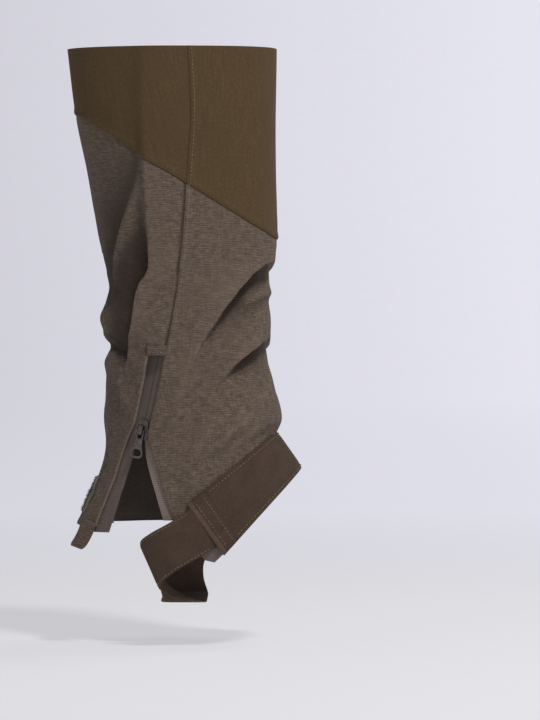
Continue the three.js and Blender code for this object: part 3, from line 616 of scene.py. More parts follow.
def zip_tape_weave(name, colour_name, factor, closed=None):
    """Ribbed tape; closed is the colour that it has above the slider, where it lies in the slot."""
    n = Nodes(name)
    base = tuple(c * factor for c in getattr(colours(), colour_name))
    place, u, v = n.cloth_place()
    lengthwise = n.wave(u, 1.15)
    crosswise = n.wave(v, 1.45)
    opened = n.ramp(v, SLIDER_Z + 2, SLIDER_Z - 8)
    shut = n.math("MULTIPLY", lengthwise, n.math("SUBTRACT", 1.0, opened))
    rib = n.math("ADD", n.math("MULTIPLY", crosswise, opened), shut)
    flecks = n.noise(place, 1.2, 3.0)
    light, dark = tone(base, 1.2), tone(base, 0.66)
    if closed:
        upper = getattr(colours(), closed)
        light, dark = n.mix(opened, tone(upper, 1.2), light), n.mix(opened, tone(upper, 0.66), dark)
    colour = n.mix(n.math("MULTIPLY", rib, 0.7), light, dark)
    colour = n.mix(n.math("MULTIPLY", n.ramp(flecks, 0.4, 0.7), 0.35), colour, tone(base, 0.7))
    n.join(colour, n.shader.inputs["Base Color"])
    n.bump(rib, 0.00012)
    return finish_fabric(n, 0.8, 0.02)


def twisted_thread(name, colour_name, low, high):
    n = Nodes(name)
    twist = n.noise(n.object_place(), 900.0, 2.0)
    base = getattr(colours(), colour_name)
    n.join(n.mix(n.ramp(twist, 0.35, 0.65), tone(base, low), tone(base, high)), n.shader.inputs["Base Color"])
    n.bump(twist, 0.00005)
    return finish_fabric(n, 0.7, 0.1)


def slider_metal():
    n = Nodes("slider_metal")
    worn = n.noise(n.object_place(), 420.0, 4.0, 0.6)
    colour = n.mix(n.ramp(worn, 0.4, 0.8), tone(colours().metal, 0.6), tone(colours().metal, 1.3))
    n.join(colour, n.shader.inputs["Base Color"])
    n.shader.inputs["Metallic"].default_value = 0.85
    gloss = n.add("ShaderNodeMapRange", {0: worn, 1: 0.3, 2: 0.7, 3: 0.26, 4: 0.4}).outputs[0]
    n.join(gloss, n.shader.inputs["Roughness"])
    n.bump(worn, 0.00003)
    return n.material


def nylon():
    n = Nodes("coil_nylon")
    mottle = n.noise(n.object_place(), 300.0, 2.0)
    n.join(n.mix(mottle, tone(colours().tape, 0.8), tone(colours().tape, 1.35)), n.shader.inputs["Base Color"])
    n.shader.inputs["Roughness"].default_value = 0.42
    n.bump(mottle, 0.00002)
    return n.material


def pile_material():
    n = Nodes("loop_pile")
    tufts = n.noise(n.object_place(), 700.0, 3.0, 0.7)
    colour = n.mix(n.ramp(tufts, 0.3, 0.7), tone(colours().pile, 0.6), tone(colours().pile, 1.5))
    n.join(colour, n.shader.inputs["Base Color"])
    n.bump(tufts, 0.0003)
    return finish_fabric(n, 0.95, 0.3)


MATERIALS = {}


def material(name):
    makers = {
        "olive": olive_twill,
        "taupe": taupe_rib,
        "band": band_weave,
        # The band's cloth made 1.5 times lighter: a painted highlight for the band's rolled end.
        "band_edge": lambda: band_weave("band_edge_weave", "band", 1.5),
        "lining": lambda: band_weave("lining_weave", "lining", 1.0, 1.3),
        "tape": lambda: zip_tape_weave("zip_tape", "tape", 1.0),
        "rear_tape": lambda: zip_tape_weave("rear_zip_tape", "pale_tape", 0.62, "tape"),
        "pale_tape": lambda: zip_tape_weave("pale_zip_tape", "pale_tape", 1.0, "tape"),
        "pale": lambda: band_weave("pale_tab_weave", "pale_tape", 0.72, 1.1),
        "thread": lambda: twisted_thread("sewing_thread", "thread", 0.75, 1.2),
        "tonal": lambda: twisted_thread("tonal_thread", "taupe", 0.9, 1.7),
        "olive_thread": lambda: twisted_thread("olive_thread", "olive", 0.5, 1.2),
        "dark_thread": lambda: twisted_thread("dark_thread", "taupe", 0.5, 0.95),
        "metal": slider_metal,
        "nylon": nylon,
        "pile": pile_material,
        "elastic": lambda: zip_tape_weave("elastic_weave", "pile", 0.9),
    }
    if name not in MATERIALS:
        MATERIALS[name] = makers[name]()
    return MATERIALS[name]


# ---- meshes ----
def new_object(name, points, faces, uv=None, looks=("taupe",), face_look=None, smooth_angle=50):
    """A mesh object from millimetre points; uv is one pair per point."""
    mesh = bpy.data.meshes.new(name)
    mesh.from_pydata((np.asarray(points, float) * MM).tolist(), [], [tuple(map(int, f)) for f in faces])
    mesh.validate()
    layer = mesh.uv_layers.new(name=UV)
    if uv is not None:
        index = np.zeros(len(mesh.loops), int)
        mesh.loops.foreach_get("vertex_index", index)
        layer.data.foreach_set("uv", (np.asarray(uv, float)[index] / 100).astype(np.float32).ravel())
    for look in looks:
        mesh.materials.append(material(look))
    if face_look is not None:
        mesh.polygons.foreach_set("material_index", np.asarray(face_look, np.int32))
    mesh.shade_smooth()
    mesh.set_sharp_from_angle(angle=math.radians(smooth_angle))
    mesh.update()
    made = bpy.data.objects.new(name, mesh)
    bpy.context.scene.collection.objects.link(made)
    return made


def grid_faces(height, width, ring=False):
    i, j = np.meshgrid(np.arange(height - 1), np.arange(width if ring else width - 1), indexing="ij")
    k = (j + 1) % width
    return np.stack([i * width + j, i * width + k, (i + 1) * width + k, (i + 1) * width + j], -1).reshape(-1, 4)


def shell(name, outer, inner, uv, looks=("taupe",), inner_look=0, ring=False, smooth_angle=50):
    """A closed skin between two grids of points, rows first."""
    height, width = outer.shape[:2]
    count = height * width
    out = grid_faces(height, width, ring)
    back = out[:, ::-1] + count
    top = np.arange(width if ring else width - 1)
    beside = (top + 1) % width
    last = (height - 1) * width
    rims = [
        np.stack([top, top + count, beside + count, beside], -1),
        np.stack([last + top, last + beside, last + beside + count, last + top + count], -1),
    ]
    if not ring:
        side = np.arange(height - 1) * width
        rims.append(np.stack([side, side + width, side + width + count, side + count], -1))
        side = side + width - 1
        rims.append(np.stack([side, side + count, side + width + count, side + width], -1))
    faces = np.concatenate([out, back, *rims])
    points = np.concatenate([outer.reshape(-1, 3), inner.reshape(-1, 3)])
    normals = np.cross(points[out[:, 1]] - points[out[:, 0]], points[out[:, 3]] - points[out[:, 0]])
    away = points[out[:, 0]] - points[out[:, 0] + count]
    if (normals * away).sum() < 0:
        faces = faces[:, ::-1]
    look = np.zeros(len(faces), int)
    look[len(out) : 2 * len(out)] = inner_look
    uv2 = np.concatenate([uv.reshape(-1, 2)] * 2)
    return new_object(name, points, faces, uv2, looks, look, smooth_angle)


def grid_normals(grid, outwards):
    across = np.gradient(grid, axis=1)
    down = np.gradient(grid, axis=0)
    normal = unit(np.cross(across, down))
    if (normal * outwards).sum() < 0:
        normal = -normal
    return normal


def steps_for(length, step):
    return max(2, int(math.ceil(length / step)))


def rod_faces(count, rings, around):
    """Faces of many closed rods whose points run round each ring, ring after ring."""
    per = rings * around
    first = np.arange(count)[:, None, None] * per
    r, k = np.meshgrid(np.arange(rings - 1), np.arange(around), indexing="ij")
    m = (k + 1) % around
    quad = np.stack([r * around + k, r * around + m, (r + 1) * around + m, (r + 1) * around + k], -1).reshape(-1, 4)
    faces = (first + quad[None]).reshape(-1, 4).tolist()
    for start in range(0, count * per, per):
        faces.append(tuple(start + k for k in reversed(range(around))))
        faces.append(tuple(start + per - around + k for k in range(around)))
    return faces


def fasten(made, slot, body, *nodes):
    """Gives a piece its body, and says which frame nodes it stands for; slot is not used."""
    if nodes:
        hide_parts(*nodes)
    if body:
        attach(made, body)
    return made


def stitches(name, rows, look="thread", body=None):
    """Rows of sewing stitches. Each row is (points, normals) along a line; every stitch is a short thread."""
    pitch, radius = sizes().stitch_pitch / MM, sizes().thread_radius / MM
    rings, around = np.array([-1.0, -0.86, -0.45, 0.0, 0.45, 0.86, 1.0]), 6
    turn = 2 * math.pi * np.arange(around) / around
    all_points = []
    for line, normals in rows:
        place = np.concatenate([[0], np.cumsum(np.linalg.norm(np.diff(line, axis=0), axis=1))])
        if place[-1] < pitch:
            continue
        middle = np.arange(pitch * 0.5, place[-1] - pitch * 0.4, pitch)
        where = np.clip(middle[:, None] + rings * pitch * 0.36, 0, place[-1])

        def at(w, of):
            return np.stack([np.interp(w, place, of[:, k]) for k in range(3)], -1)

        centre, normal = at(where, line), unit(at(where, normals))
        along = unit(at(np.minimum(where + 0.4, place[-1]), line) - at(np.maximum(where - 0.4, 0), line))
        side = unit(np.cross(along, normal))
        swell = (np.sqrt(np.maximum(0, 1 - rings**2)) * radius + 0.02)[None, :, None, None]
        sink = (radius * (0.35 - 1.1 * rings**2))[None, :, None, None]
        out = sink + swell * np.sin(turn)[None, None, :, None]
        wide = swell * 1.15 * np.cos(turn)[None, None, :, None]
        all_points.append((centre[:, :, None] + normal[:, :, None] * out + side[:, :, None] * wide).reshape(-1, 3))
    points = np.concatenate(all_points)
    faces = rod_faces(len(points) // (len(rings) * around), len(rings), around)
    return fasten(new_object(name, points, faces, None, (look,), None, 80), "thread", body)


def cloth_row(x_line, top, bottom, side, lift=0.0, step=0.8):
    """Points and normals down the cloth along a line given as x for each height."""
    z = np.linspace(top, bottom, steps_for(abs(top - bottom), step))
    return cloth_frame(angle_at(x_line(z), z, side), z, np.full(z.shape, lift))


# ---- cloth panels ----
def wrapped(angle):
    return np.where(angle < 0, angle + 2 * math.pi, angle)


def outer_front(z):
    return angle_at(front_edge_x(z), z, OUTER)


def inner_front(z):
    return angle_at(inner_seam_x(z), z, INNER)


def edged_shares(length, step, fine=(0, 0.5, 1.0, 1.6, 2.3, 3.1, 4.2, 5.6)):
    """Shares from 0 to 1 of a length, closer together at both ends, where the cloth is turned and sewn."""
    fine = np.array(fine)
    middle = np.linspace(fine[-1], length - fine[-1], steps_for(length - 2 * fine[-1], step) + 1)[1:-1]
    return np.concatenate([fine, middle, length - fine[::-1]]) / length


def even_shares(length, step):
    return np.linspace(0, 1, steps_for(length, step) + 1)


BEFORE_EDGE = 14.0  # how far from a panel's right edge the line called before lies


def panel_grid(left, right, top, bottom, across_mm, down_mm, step, before=None, shares=edged_shares):
    """Angles and heights of a panel's mesh; before is a line that the mesh keeps to just short of its right edge."""
    s, t = np.meshgrid(shares(across_mm, step), shares(down_mm, step))
    turn = 1 - BEFORE_EDGE / across_mm

    def across(z):
        if before is None:
            return mix(left(z), right(z), s)
        near = mix(left(z), before(z), s / turn)
        return np.where(s < turn, near, mix(before(z), right(z), (s - turn) / (1 - turn)))

    angle = across(np.full_like(s, -150.0))
    z = mix(top(angle), bottom(angle), t)
    for _ in range(30):
        angle = across(z)
        z = mix(z, mix(top(angle), bottom(angle), t), 0.6)
    return angle, z


def unrolled(angle, z):
    g = girth(angle, z)
    around = full_girth(z)
    return np.where((angle > math.pi - 1e-6) & (g < 0), g + around, g)


def panel(name, looks, grid, lift, thickness, painted_light=0.0):
    """A cloth panel from its grid. Its lift, thickness and painted light may differ over it: a painted highlight above
    0, a painted shadow below 0.
    """
    angle, z = grid
    painted_light = np.broadcast_to(painted_light, z.shape)
    outer = cloth(angle, z, np.broadcast_to(lift, z.shape))
    outwards = grid_normals(outer, sleeve_normal(angle, z))
    inner = outer - outwards * np.broadcast_to(thickness, z.shape)[..., None]
    uv = np.stack([unrolled(angle, z), z], -1)
    made = shell(name, outer, inner, uv, looks, inner_look=len(looks) - 1)
    # Painted shade: the folds' hollows are darkened and their crests painted paler, as light and shade would fall; the
    # shade attribute carries it, with the edges' painted light.
    hollow = ease(-relief(angle, z), 0.3, 5.0)
    crest = ease(relief(angle, z), 1.0, 4.5)
    shade = made.data.attributes.new("shade", "FLOAT", "POINT")
    values = ((hollow - 0.35 * crest) * (1 - np.abs(painted_light)) - painted_light).ravel()
    shade.data.foreach_set("value", np.concatenate([values, values]).astype(np.float32))
    return made


def edge_distances(grid):
    """Millimetres from a panel's left, right, top and bottom edges."""
    angle, z = grid
    g = unrolled(angle, z)
    return g - g[:, :1], g[:, -1:] - g, z[:1] - z, z - z[-1:]


def flat_area(grid):
    angle, z = grid
    p = sleeve(angle, z)
    a, b = p[1:, :-1] - p[:-1, :-1], p[:-1, 1:] - p[:-1, :-1]
    return float(np.linalg.norm(np.cross(a, b), axis=-1).sum()) * MM * MM


def declare_cloth(grid):
    """Works out a panel's flat area, with a small margin, and does not keep it."""
    angle, z = grid
    g = unrolled(angle, z)
    flat_area(grid) * 1.03


SEAM_LAP = 2.0  # how far an under layer runs past its seam


def build_upper():
    step, cloth_mm = sizes().mesh_step / MM * 1.35, sizes().cloth_thickness / MM
    top = lambda a: np.zeros_like(a)
    bottom = lambda a: yoke_at(a) - 0.4
    grid = panel_grid(outer_front, inner_front, top, bottom, 260, 130, step)
    left, right, _, low = edge_distances(grid)
    raised = 0.75 * (1 - ease(np.minimum(left, right), 1.5, 7)) + 0.8 * (1 - ease(low, 1.5, 7))
    rounded = 0.5 * (1 - ease(np.minimum(np.minimum(left, right), low), 0, 1.2))
    lift = np.minimum(raised, 0.95) - rounded
    front = panel("upper_front_cloth", ("olive", "lining"), grid, lift, cloth_mm)
    declare_cloth(grid)
    grid = panel_grid(
        lambda z: inner_front(z) - SEAM_LAP / 60, lambda z: wrapped(outer_front(z)) + SEAM_LAP / 60,
        top, bottom, 220, 90, step,
    )
    left, right, _, low = edge_distances(grid)
    sunk = -0.35 * (1 - ease(np.minimum(left, right), 2, 8)) + 0.8 * (1 - ease(low, 1.5, 7))
    rounded = 0.5 * (1 - ease(low, 0, 1.2))
    # Painted shadow along the side seams, beside the front panel's lapped edges, and a painted highlight along the
    # bottom edge's roll.
    painted_seam_shading = -1.0 * (1 - ease(np.minimum(left, right), 2.3, 3.2)) + 0.7 * (1 - ease(low, 0.8, 2.0))
    rear = panel("upper_rear_cloth", ("olive", "lining"), grid, sunk - rounded, cloth_mm, painted_seam_shading)
    declare_cloth(grid)
    for made, node in ((front, "upper_front_panel"), (rear, "upper_rear_panel")):
        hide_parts(node)
        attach(made, "sleeve")
    build_top_hem()


def build_top_hem():
    for name, node, look, slot, inset, low, thick in (
        ("top_elastic_band", "top_elastic", "elastic", "hook_loop", 1.6, -16.5, 0.8),
        ("top_hem_turned", "top_hem_facing", "olive", "olive_cloth", 2.7, -22.0, 0.8),
    ):
        angle, z = np.meshgrid(np.linspace(-math.pi, math.pi, 220)[:-1], np.linspace(-1.2, low, 8))
        wrinkle = 0.25 * np.sin(angle * 70) * (1 - np.abs(2 * (z - low) / (-1.2 - low) - 1))
        outer = cloth(angle, z, wrinkle - inset)
        inner = outer - sleeve_normal(angle, z) * thick
        uv = np.stack([girth(angle, z), z], -1)
        made = shell(name, outer, inner, uv, (look,), ring=True)
        fasten(made, slot, "sleeve", node)


def build_lower_front():
    step, cloth_mm = sizes().mesh_step / MM, sizes().cloth_thickness / MM
    top = lambda a: yoke_at(a) + SEAM_LAP
    bottom = lambda a: hem_at(a) - 3.0
    grid = panel_grid(outer_front, inner_front, top, bottom, 270, 225, step)
    left, right, up, low = edge_distances(grid)
    z = grid[1]
    seam = ease(z, ZIP_TOP_Z - 4, ZIP_TOP_Z + 4)
    raised = 0.75 * seam * (1 - ease(left, 1.5, 7)) + 0.75 * (1 - ease(right, 1.5, 7))
    folded = 0.55 * (1 - seam) * (1 - ease(left, 5.5, 7.5))
    rounded = 0.7 * (1 - ease(left, 0, 1.4)) + 0.5 * (1 - ease(right, 0, 1.2))
    under = -0.4 * (1 - ease(up, 2, 8)) - 0.5 * (1 - ease(low, 3, 10))
    thickness = cloth_mm + 0.8 * (1 - seam) * (1 - ease(left, 6, 8))
    # Painted highlight along the turned left edge below the zip's top, and painted shadow in a line just below the
    # yoke's edge.
    edge = 0.5 * (1 - seam) * (1 - ease(left, 0.6, 1.8)) - 1.0 * (1 - ease(up, 2.3, 3.2))
    lift = raised + folded - rounded + under
    made = panel("lower_front_cloth", ("taupe", "lining"), grid, lift, thickness, edge)
    declare_cloth(grid)
    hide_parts("lower_front_panel")
    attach(made, "sleeve")


def build_lower_rear():
    """Rear cloth from the yoke to the cuff's hem in one piece; it also stands in for the gusset."""
    step, cloth_mm = sizes().mesh_step / MM, sizes().cloth_thickness / MM

    def left(z):
        return inner_front(z) - SEAM_LAP / 60

    def right(z):
        outer_x = np.where(z > ZIP_TOP_Z + 3, front_edge_x(z) + 1.5, rear_edge_x(z))
        blend = ease(z, ZIP_TOP_Z - 1, ZIP_TOP_Z + 5)
        return wrapped(angle_at(mix(rear_edge_x(z), outer_x, blend), z, OUTER))

    top = lambda a: yoke_at(a) + SEAM_LAP
    bottom = lambda a: np.full_like(a, HEM_Z)
    def before(z):
        x = mix(rear_edge_x(z) - 9, front_edge_x(z) - 14, ease(z, ZIP_TOP_Z - 6, ZIP_TOP_Z + 24))
        return wrapped(angle_at(x, z, OUTER))

    grid = panel_grid(left, right, top, bottom, 215, 300, step, before)
    angle, z = grid
    from_left, from_right, up, low = edge_distances(grid)
    seam = ease(z, ZIP_TOP_Z - 4, ZIP_TOP_Z + 4)
    under = -0.35 * seam * (1 - ease(from_right, 2, 8)) - 0.35 * (1 - ease(from_left, 2, 8))
    under = under - 0.4 * (1 - ease(up, 2, 8))
    folded = 0.6 * (1 - seam) * (1 - ease(from_right, 5.5, 7.5)) + 0.5 * (1 - ease(low, 13, 15))
    rounded = 0.8 * (1 - seam) * (1 - ease(from_right, 0, 1.4)) + 0.6 * (1 - ease(low, 0, 1.4))
    thickness = cloth_mm + 0.9 * (1 - seam) * (1 - ease(from_right, 6, 8)) + 0.6 * (1 - ease(low, 13, 15))
    # Painted shadow in lines beside the outseam above the zip, below the yoke and along the inner seam; painted
    # highlight along the turned right edge below the zip's top.
    painted_seam_shading = np.maximum(seam * (1 - ease(from_right, 2.3, 3.2)), 1 - ease(np.minimum(up, from_left), 2.3, 3.2))
    edge = 0.9 * (1 - seam) * (1 - ease(from_right, 0.6, 1.8)) - 1.0 * painted_seam_shading
    lift = under + folded - rounded
    made = panel("lower_rear_cloth", ("taupe", "lining"), grid, lift, thickness, edge)
    declare_cloth(grid)
    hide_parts("lower_rear_panel", "rear_cuff_panel", "inner_gusset")
    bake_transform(made)
    fold = angle_at(rear_edge_x(z), z, INNER)
    gusset = ease(angle, inner_front(z), np.maximum(fold, inner_front(z) + 0.05))


def build_panel_stitches():
    def shifted(line, shift):
        return lambda z: line(z) + shift

    rows = [cloth_row(shifted(front_edge_x, 3.0), -1, -150, OUTER, 0.7)]
    stitches("upper_seam_stitches", rows, "thread", "sleeve")
    rows = [
        cloth_row(shifted(front_edge_x, 2.6), -104, ZIP_TOP_Z + 2, OUTER, 0.6),
        cloth_row(shifted(front_edge_x, 2.4), ZIP_TOP_Z - 3, -360, OUTER, 0.5),
        cloth_row(shifted(inner_seam_x, 3.0), -1, -290, INNER, 0.7),
    ]
    stitches("lower_seam_stitches", rows, "tonal", "sleeve")
    rows = [cloth_row(shifted(rear_edge_x, -2.6), ZIP_TOP_Z - 3, CUFF_Z + 4, OUTER, 0.55)]
    stitches("rear_zip_stitches", rows, "dark_thread", "sleeve")
    rows = [cloth_row(shifted(rear_edge_x, -2.6), CUFF_Z - 8, HEM_Z + 3, OUTER, 0.55)]
    angle = np.linspace(1.95, 2 * math.pi - 2.5, 200)
    z = np.full_like(angle, HEM_Z + 11.5)
    rows.append(cloth_frame(angle, z, np.full_like(angle, 0.45)))
    stitches("cuff_stitches", rows, "dark_thread", "rear_cuff")
    rows = []
    for first, last in ((-2.9, -0.35), (0.35, 2.9)):
        angle = np.linspace(first, last, 260)
        rows.append(cloth_frame(angle, yoke_at(angle) + 2.2, np.full_like(angle, 0.75)))
    stitches("yoke_stitches", rows, "olive_thread", "sleeve")


# ---- band over the instep ----
BAND_DROP, BAND_FRONT, BAND_START = (41, -387.8), (98.5, -324.5), (15.3, -352.2)
BAND_HALF = HEM_DEPTH + 4.0
BAND_ANGLES = [float(angle_at(BAND_START[0], BAND_START[1], side)) for side in (OUTER, INNER)]


def band_place(share, drop):
    angle = mix(BAND_ANGLES[0], BAND_ANGLES[1], share)
    z = hem_at(angle) - 0.15
    upper = sleeve(angle, z) + sleeve_normal(angle, z) * (0.4 * relief(angle, z))[..., None]
    turn = mix(-math.pi / 2, math.pi / 2, share)
    x = BAND_DROP[0] + (BAND_FRONT[0] - BAND_DROP[0]) * np.maximum(np.cos(turn), 0) ** 0.85
    fall = (BAND_FRONT[1] - BAND_DROP[1]) / (BAND_FRONT[0] - BAND_DROP[0])
    y = BAND_HALF * signed_power(np.sin(turn), 0.85)
    lower = np.stack([x, y, BAND_DROP[1] + fall * (x - BAND_DROP[0])], -1)
    return mix(upper, lower, drop[..., None])


def on_band(share, drop, lift):
    share, drop = np.broadcast_arrays(np.asarray(share, float), np.asarray(drop, float))
    share = np.clip(share, 0.0001, 0.9999)
    around = band_place(np.clip(share + 0.01, 0, 1), drop) - band_place(np.clip(share - 0.01, 0, 1), drop)
    down = band_place(share, drop + 0.05) - band_place(share, drop - 0.05)
    normal = unit(np.cross(down, around))
    place = band_place(share, drop)
    away = place - np.array([10.0, 0.0, 0.0])
    away[..., 2] = 0
    normal = normal * np.sign((normal * away).sum(-1, keepdims=True))
    return place + normal * np.asarray(lift)[..., None], normal


def band_patch(name, look, slot, area, lift, thickness, columns, rows, body="sleeve", bulge=0.0, backs=None):
    """A patch of the band; area is its first and last share round the band, then its first and last share down."""
    s0, s1, d0, d1 = area
    s, d = np.meshgrid(np.linspace(s0, s1, columns), np.linspace(d0, d1, rows))
    edge = np.minimum(np.minimum(s - s0, s1 - s) * 190, np.minimum(d - d0, d1 - d) * 42)
    height = lift + bulge * ease(edge, 1.0, 9.0) - 0.35 * (1 - ease(edge, 0, 1.0))
    outer, normal = on_band(s, d, height)
    inner = outer - normal * np.minimum(thickness, thickness - 0.2 * (1 - ease(edge, 0, 1.0)))[..., None]
    uv = np.stack([s * 190, -d * 42], -1)
    return fasten(shell(name, outer, inner, uv, (look, backs or look), inner_look=1), slot, body)


def band_row(s, d, lift):
    s, d = np.broadcast_arrays(np.asarray(s, float), np.asarray(d, float))
    return on_band(s, d, np.full(s.shape, lift))


def build_band():
    area = (0.0, 1.0, -0.1, 1.0)
    made = band_patch("instep_band_cloth", "band", "band_cloth", area, 2.5, 2.2, 190, 34, bulge=0.5, backs="lining")
    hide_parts("instep_band", "instep_band_lining")
    made = band_patch("band_end_fold", "band", "band_cloth", (0.001, 0.042, -0.08, 1.005), 3.6, 1.1, 14, 30)
    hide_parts("band_end_binding")
    # The rolled end's strip uses the lighter band cloth, a painted highlight on the fold.
    band_patch("band_end_edge", "band_edge", "band_cloth", (-0.001, 0.0085, -0.09, 1.006), 4.0, 1.2, 8, 30)
    made = band_patch("band_loop_tape", "pile", "hook_loop", (0.8, 0.97, 0.12, 0.72), 3.5, 0.9, 40, 20)
    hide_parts("band_loop_patch")
    along = np.linspace(0.05, 0.8, 240)
    rows = [band_row(along, 0.93, 3.0), band_row(along, -0.02, 3.0)]
    down = np.linspace(0.0, 0.95, 60)
    rows += [band_row(0.014, down, 3.65), band_row(0.034, down, 3.65)]
    stitches("band_stitches", rows, "thread", "sleeve")


# ---- strap under the boot's arch ----
STRAP_THICK, SOLE_Z, SOLE_X = 2.4, -424.0, 10.0
SIDE_STATIONS = [
    ((22, -58.2, -346.5), (41, -59.6, -376)),
    ((15, -58.9, -352.6), (34.3, -60.2, -382)),
    ((-1, -61, -363), (20, -62, -390.3)),
    ((-15.9, -60, -371.4), (3, -61.5, -400.5)),
    ((-22.4, -54.5, -377.5), (-8, -56, -411.5)),
    ((-19.5, -47, -387), (-2, -51, -418.5)),
    ((-12.5, -41, -403), (9, -45, -422.8)),
    ((-6.5, -39, -420), (26.5, -40.5, -423.5)),
    ((-7.5, -35.5, -423.6), (27.5, -35.5, -424)),
    ((-7.5, -33, -424), (27.5, -33, -424)),
    ((-7.5, -15, -424), (27.5, -15, -424)),
    ((-7.5, 8, -424), (27.5, 8, -424)),
]
TAIL_STATIONS = [
    ((-7.5, 2, -424), (27.5, 2, -424)),
    ((-7.5, 20, -424), (27.5, 20, -424)),
    ((-7.5, 36, -424), (27.5, 36, -424)),
    ((-7.5, 38.5, -423.9), (27.5, 38.5, -424)),
    ((-8.5, 48, -420), (26.5, 49, -421.5)),
    ((-10.5, 57, -407), (23.5, 59, -412)),
    ((-5, 61, -389), (24, 63, -400.5)),
    ((4, 62, -373), (30, 64.2, -391)),
]


def curve_through(points, count, alpha=0.5):
    """A centripetal curve through points, evenly spaced along each stretch."""

    def between(u, first, last, a, b):
        return ((t[last] - u) * a + (u - t[first]) * b) / (t[last] - t[first])

    p = np.array(points, float)
    p = np.concatenate([[2 * p[0] - p[1]], p, [2 * p[-1] - p[-2]]])
    t = np.concatenate([[0], np.cumsum(np.linalg.norm(np.diff(p, axis=0), axis=1) ** alpha)])
    out = []
    per = max(2, count // (len(points) - 1))
    for i in range(1, len(p) - 2):
        last = i == len(p) - 3
        for u in np.linspace(t[i], t[i + 1], per + last, endpoint=last):
            a = [between(u, k, k + 1, p[k], p[k + 1]) for k in (i - 1, i, i + 1)]
            b = [between(u, i - 1 + k, i + 1 + k, a[k], a[k + 1]) for k in (0, 1)]
            out.append(between(u, i, i + 1, b[0], b[1]))
    return np.array(out)


def ribbon(stations, count, first_outwards, across=22, crown=0.35):
    """Outer face, inner face, normals and cloth coordinates of a strap through its stations."""
    edges = [curve_through([s[k] for s in stations], count) for k in (0, 1)]
    share = np.linspace(0, 1, across)
    middle = mix(edges[0][:, None], edges[1][:, None], share[None, :, None])
    along = np.gradient((edges[0] + edges[1]) / 2, axis=0)
    normal = unit(np.cross(along, edges[1] - edges[0]))
    if normal[0] @ np.array(first_outwards) < 0:
        normal = -normal
    edge = np.minimum(share, 1 - share) * 35
    half = STRAP_THICK / 2 - 0.5 * (1 - ease(edge, 0, 1.2)) + crown * ease(edge, 1.5, 7) * 0.5
    place = np.concatenate([[0], np.cumsum(np.linalg.norm(np.diff((edges[0] + edges[1]) / 2, axis=0), axis=1))])
    uv = np.stack(np.broadcast_arrays(place[:, None], share[None] * 35), -1)
    spread = normal[:, None] * half[None, :, None]
    return middle + spread, middle - spread, normal, uv


def strap_stitch_rows(outer, normal, shares, first, last):
    rows = []
    for share in shares:
        column = int(round(share * (outer.shape[1] - 1)))
        rows.append((outer[first:last, column], normal[first:last]))
    return rows


def build_strap():
    outer, inner, normal, uv = ribbon(SIDE_STATIONS, 150, (0, -1, 0))
    made = shell("strap_outer_cloth", outer, inner, uv, ("band",))
    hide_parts("strap_side")
    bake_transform(made)
    stop = int(len(outer) * 0.72)
    stitches("strap_outer_stitches", strap_stitch_rows(outer, normal, (0.06, 0.94), 16, stop), "thread", "sleeve")

    rows = TAIL_STATIONS + [
        tuple(tuple(p) for p in on_band(np.array([s, s]), np.array([0.08, 0.8]), np.full(2, 5.6))[0])
        for s in (0.985, 0.93, 0.88, 0.83, 0.78)
    ]
    outer, inner, normal, uv = ribbon(rows, 170, (0, 0, -1))
    made = shell("strap_tail_cloth", outer, inner, uv, ("band",))
    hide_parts("strap_tail", "strap_sole")
    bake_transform(made)
    first = int(len(outer) * 0.36)
    rows = strap_stitch_rows(outer, normal, (0.06, 0.94), first, len(outer) - 2)
    stitches("strap_tail_stitches", rows, "thread", "strap_end")
    made = band_patch("strap_hook_tape", "pile", "hook_loop", (0.8, 0.95, 0.14, 0.7), 4.3, 0.8, 40, 20, "strap_end")
    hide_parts("strap_hook_patch")
    build_sole_patch()
    build_root_tab()


def rounded_plate(name, outline, low, high, look, matrix=None, holes=(), bevel=0.25, segments=2):
    """A plate cut from an outline in its own x and y, with bevelled edges, placed by a matrix in millimetres."""
    loops = [[Vector((x, y, 0)) for x, y in outline]] + [[Vector((x, y, 0)) for x, y in hole] for hole in holes]
    flat = [p for loop in loops for p in loop]
    bm = bmesh.new()
    bottom = [bm.verts.new((p.x, p.y, low)) for p in flat]
    top = [bm.verts.new((p.x, p.y, high)) for p in flat]
    for a, b, c in tessellate_polygon(loops):
        bm.faces.new((top[a], top[b], top[c]))
        bm.faces.new((bottom[c], bottom[b], bottom[a]))
    start = 0
    for loop in loops:
        n = len(loop)
        for k in range(n):
            a, b = start + k, start + (k + 1) % n
            bm.faces.new((bottom[a], bottom[b], top[b], top[a]))
        start += n
    bmesh.ops.recalc_face_normals(bm, faces=bm.faces)
    bmesh.ops.dissolve_limit(bm, angle_limit=math.radians(1), verts=bm.verts, edges=bm.edges)
    if bevel:
        sharp = [e for e in bm.edges if e.is_manifold and e.calc_face_angle(0) > math.radians(40)]
        settings = dict(offset=bevel, segments=segments, profile=0.6, affect="EDGES", clamp_overlap=True)
        bmesh.ops.bevel(bm, geom=sharp, **settings)
    if matrix is not None:
        bmesh.ops.transform(bm, matrix=matrix, verts=bm.verts)
    bmesh.ops.scale(bm, vec=(MM, MM, MM), verts=bm.verts)
    mesh = bpy.data.meshes.new(name)
    bm.to_mesh(mesh)
    bm.free()
    layer = mesh.uv_layers.new(name=UV)
    for loop in mesh.loops:
        co = mesh.vertices[loop.vertex_index].co
        layer.data[loop.index].uv = (co.x / MM / 100, co.z / MM / 100)
    mesh.materials.append(material(look))
    mesh.shade_smooth()
    mesh.set_sharp_from_angle(angle=math.radians(35))
    made = bpy.data.objects.new(name, mesh)
    bpy.context.scene.collection.objects.link(made)
    return made


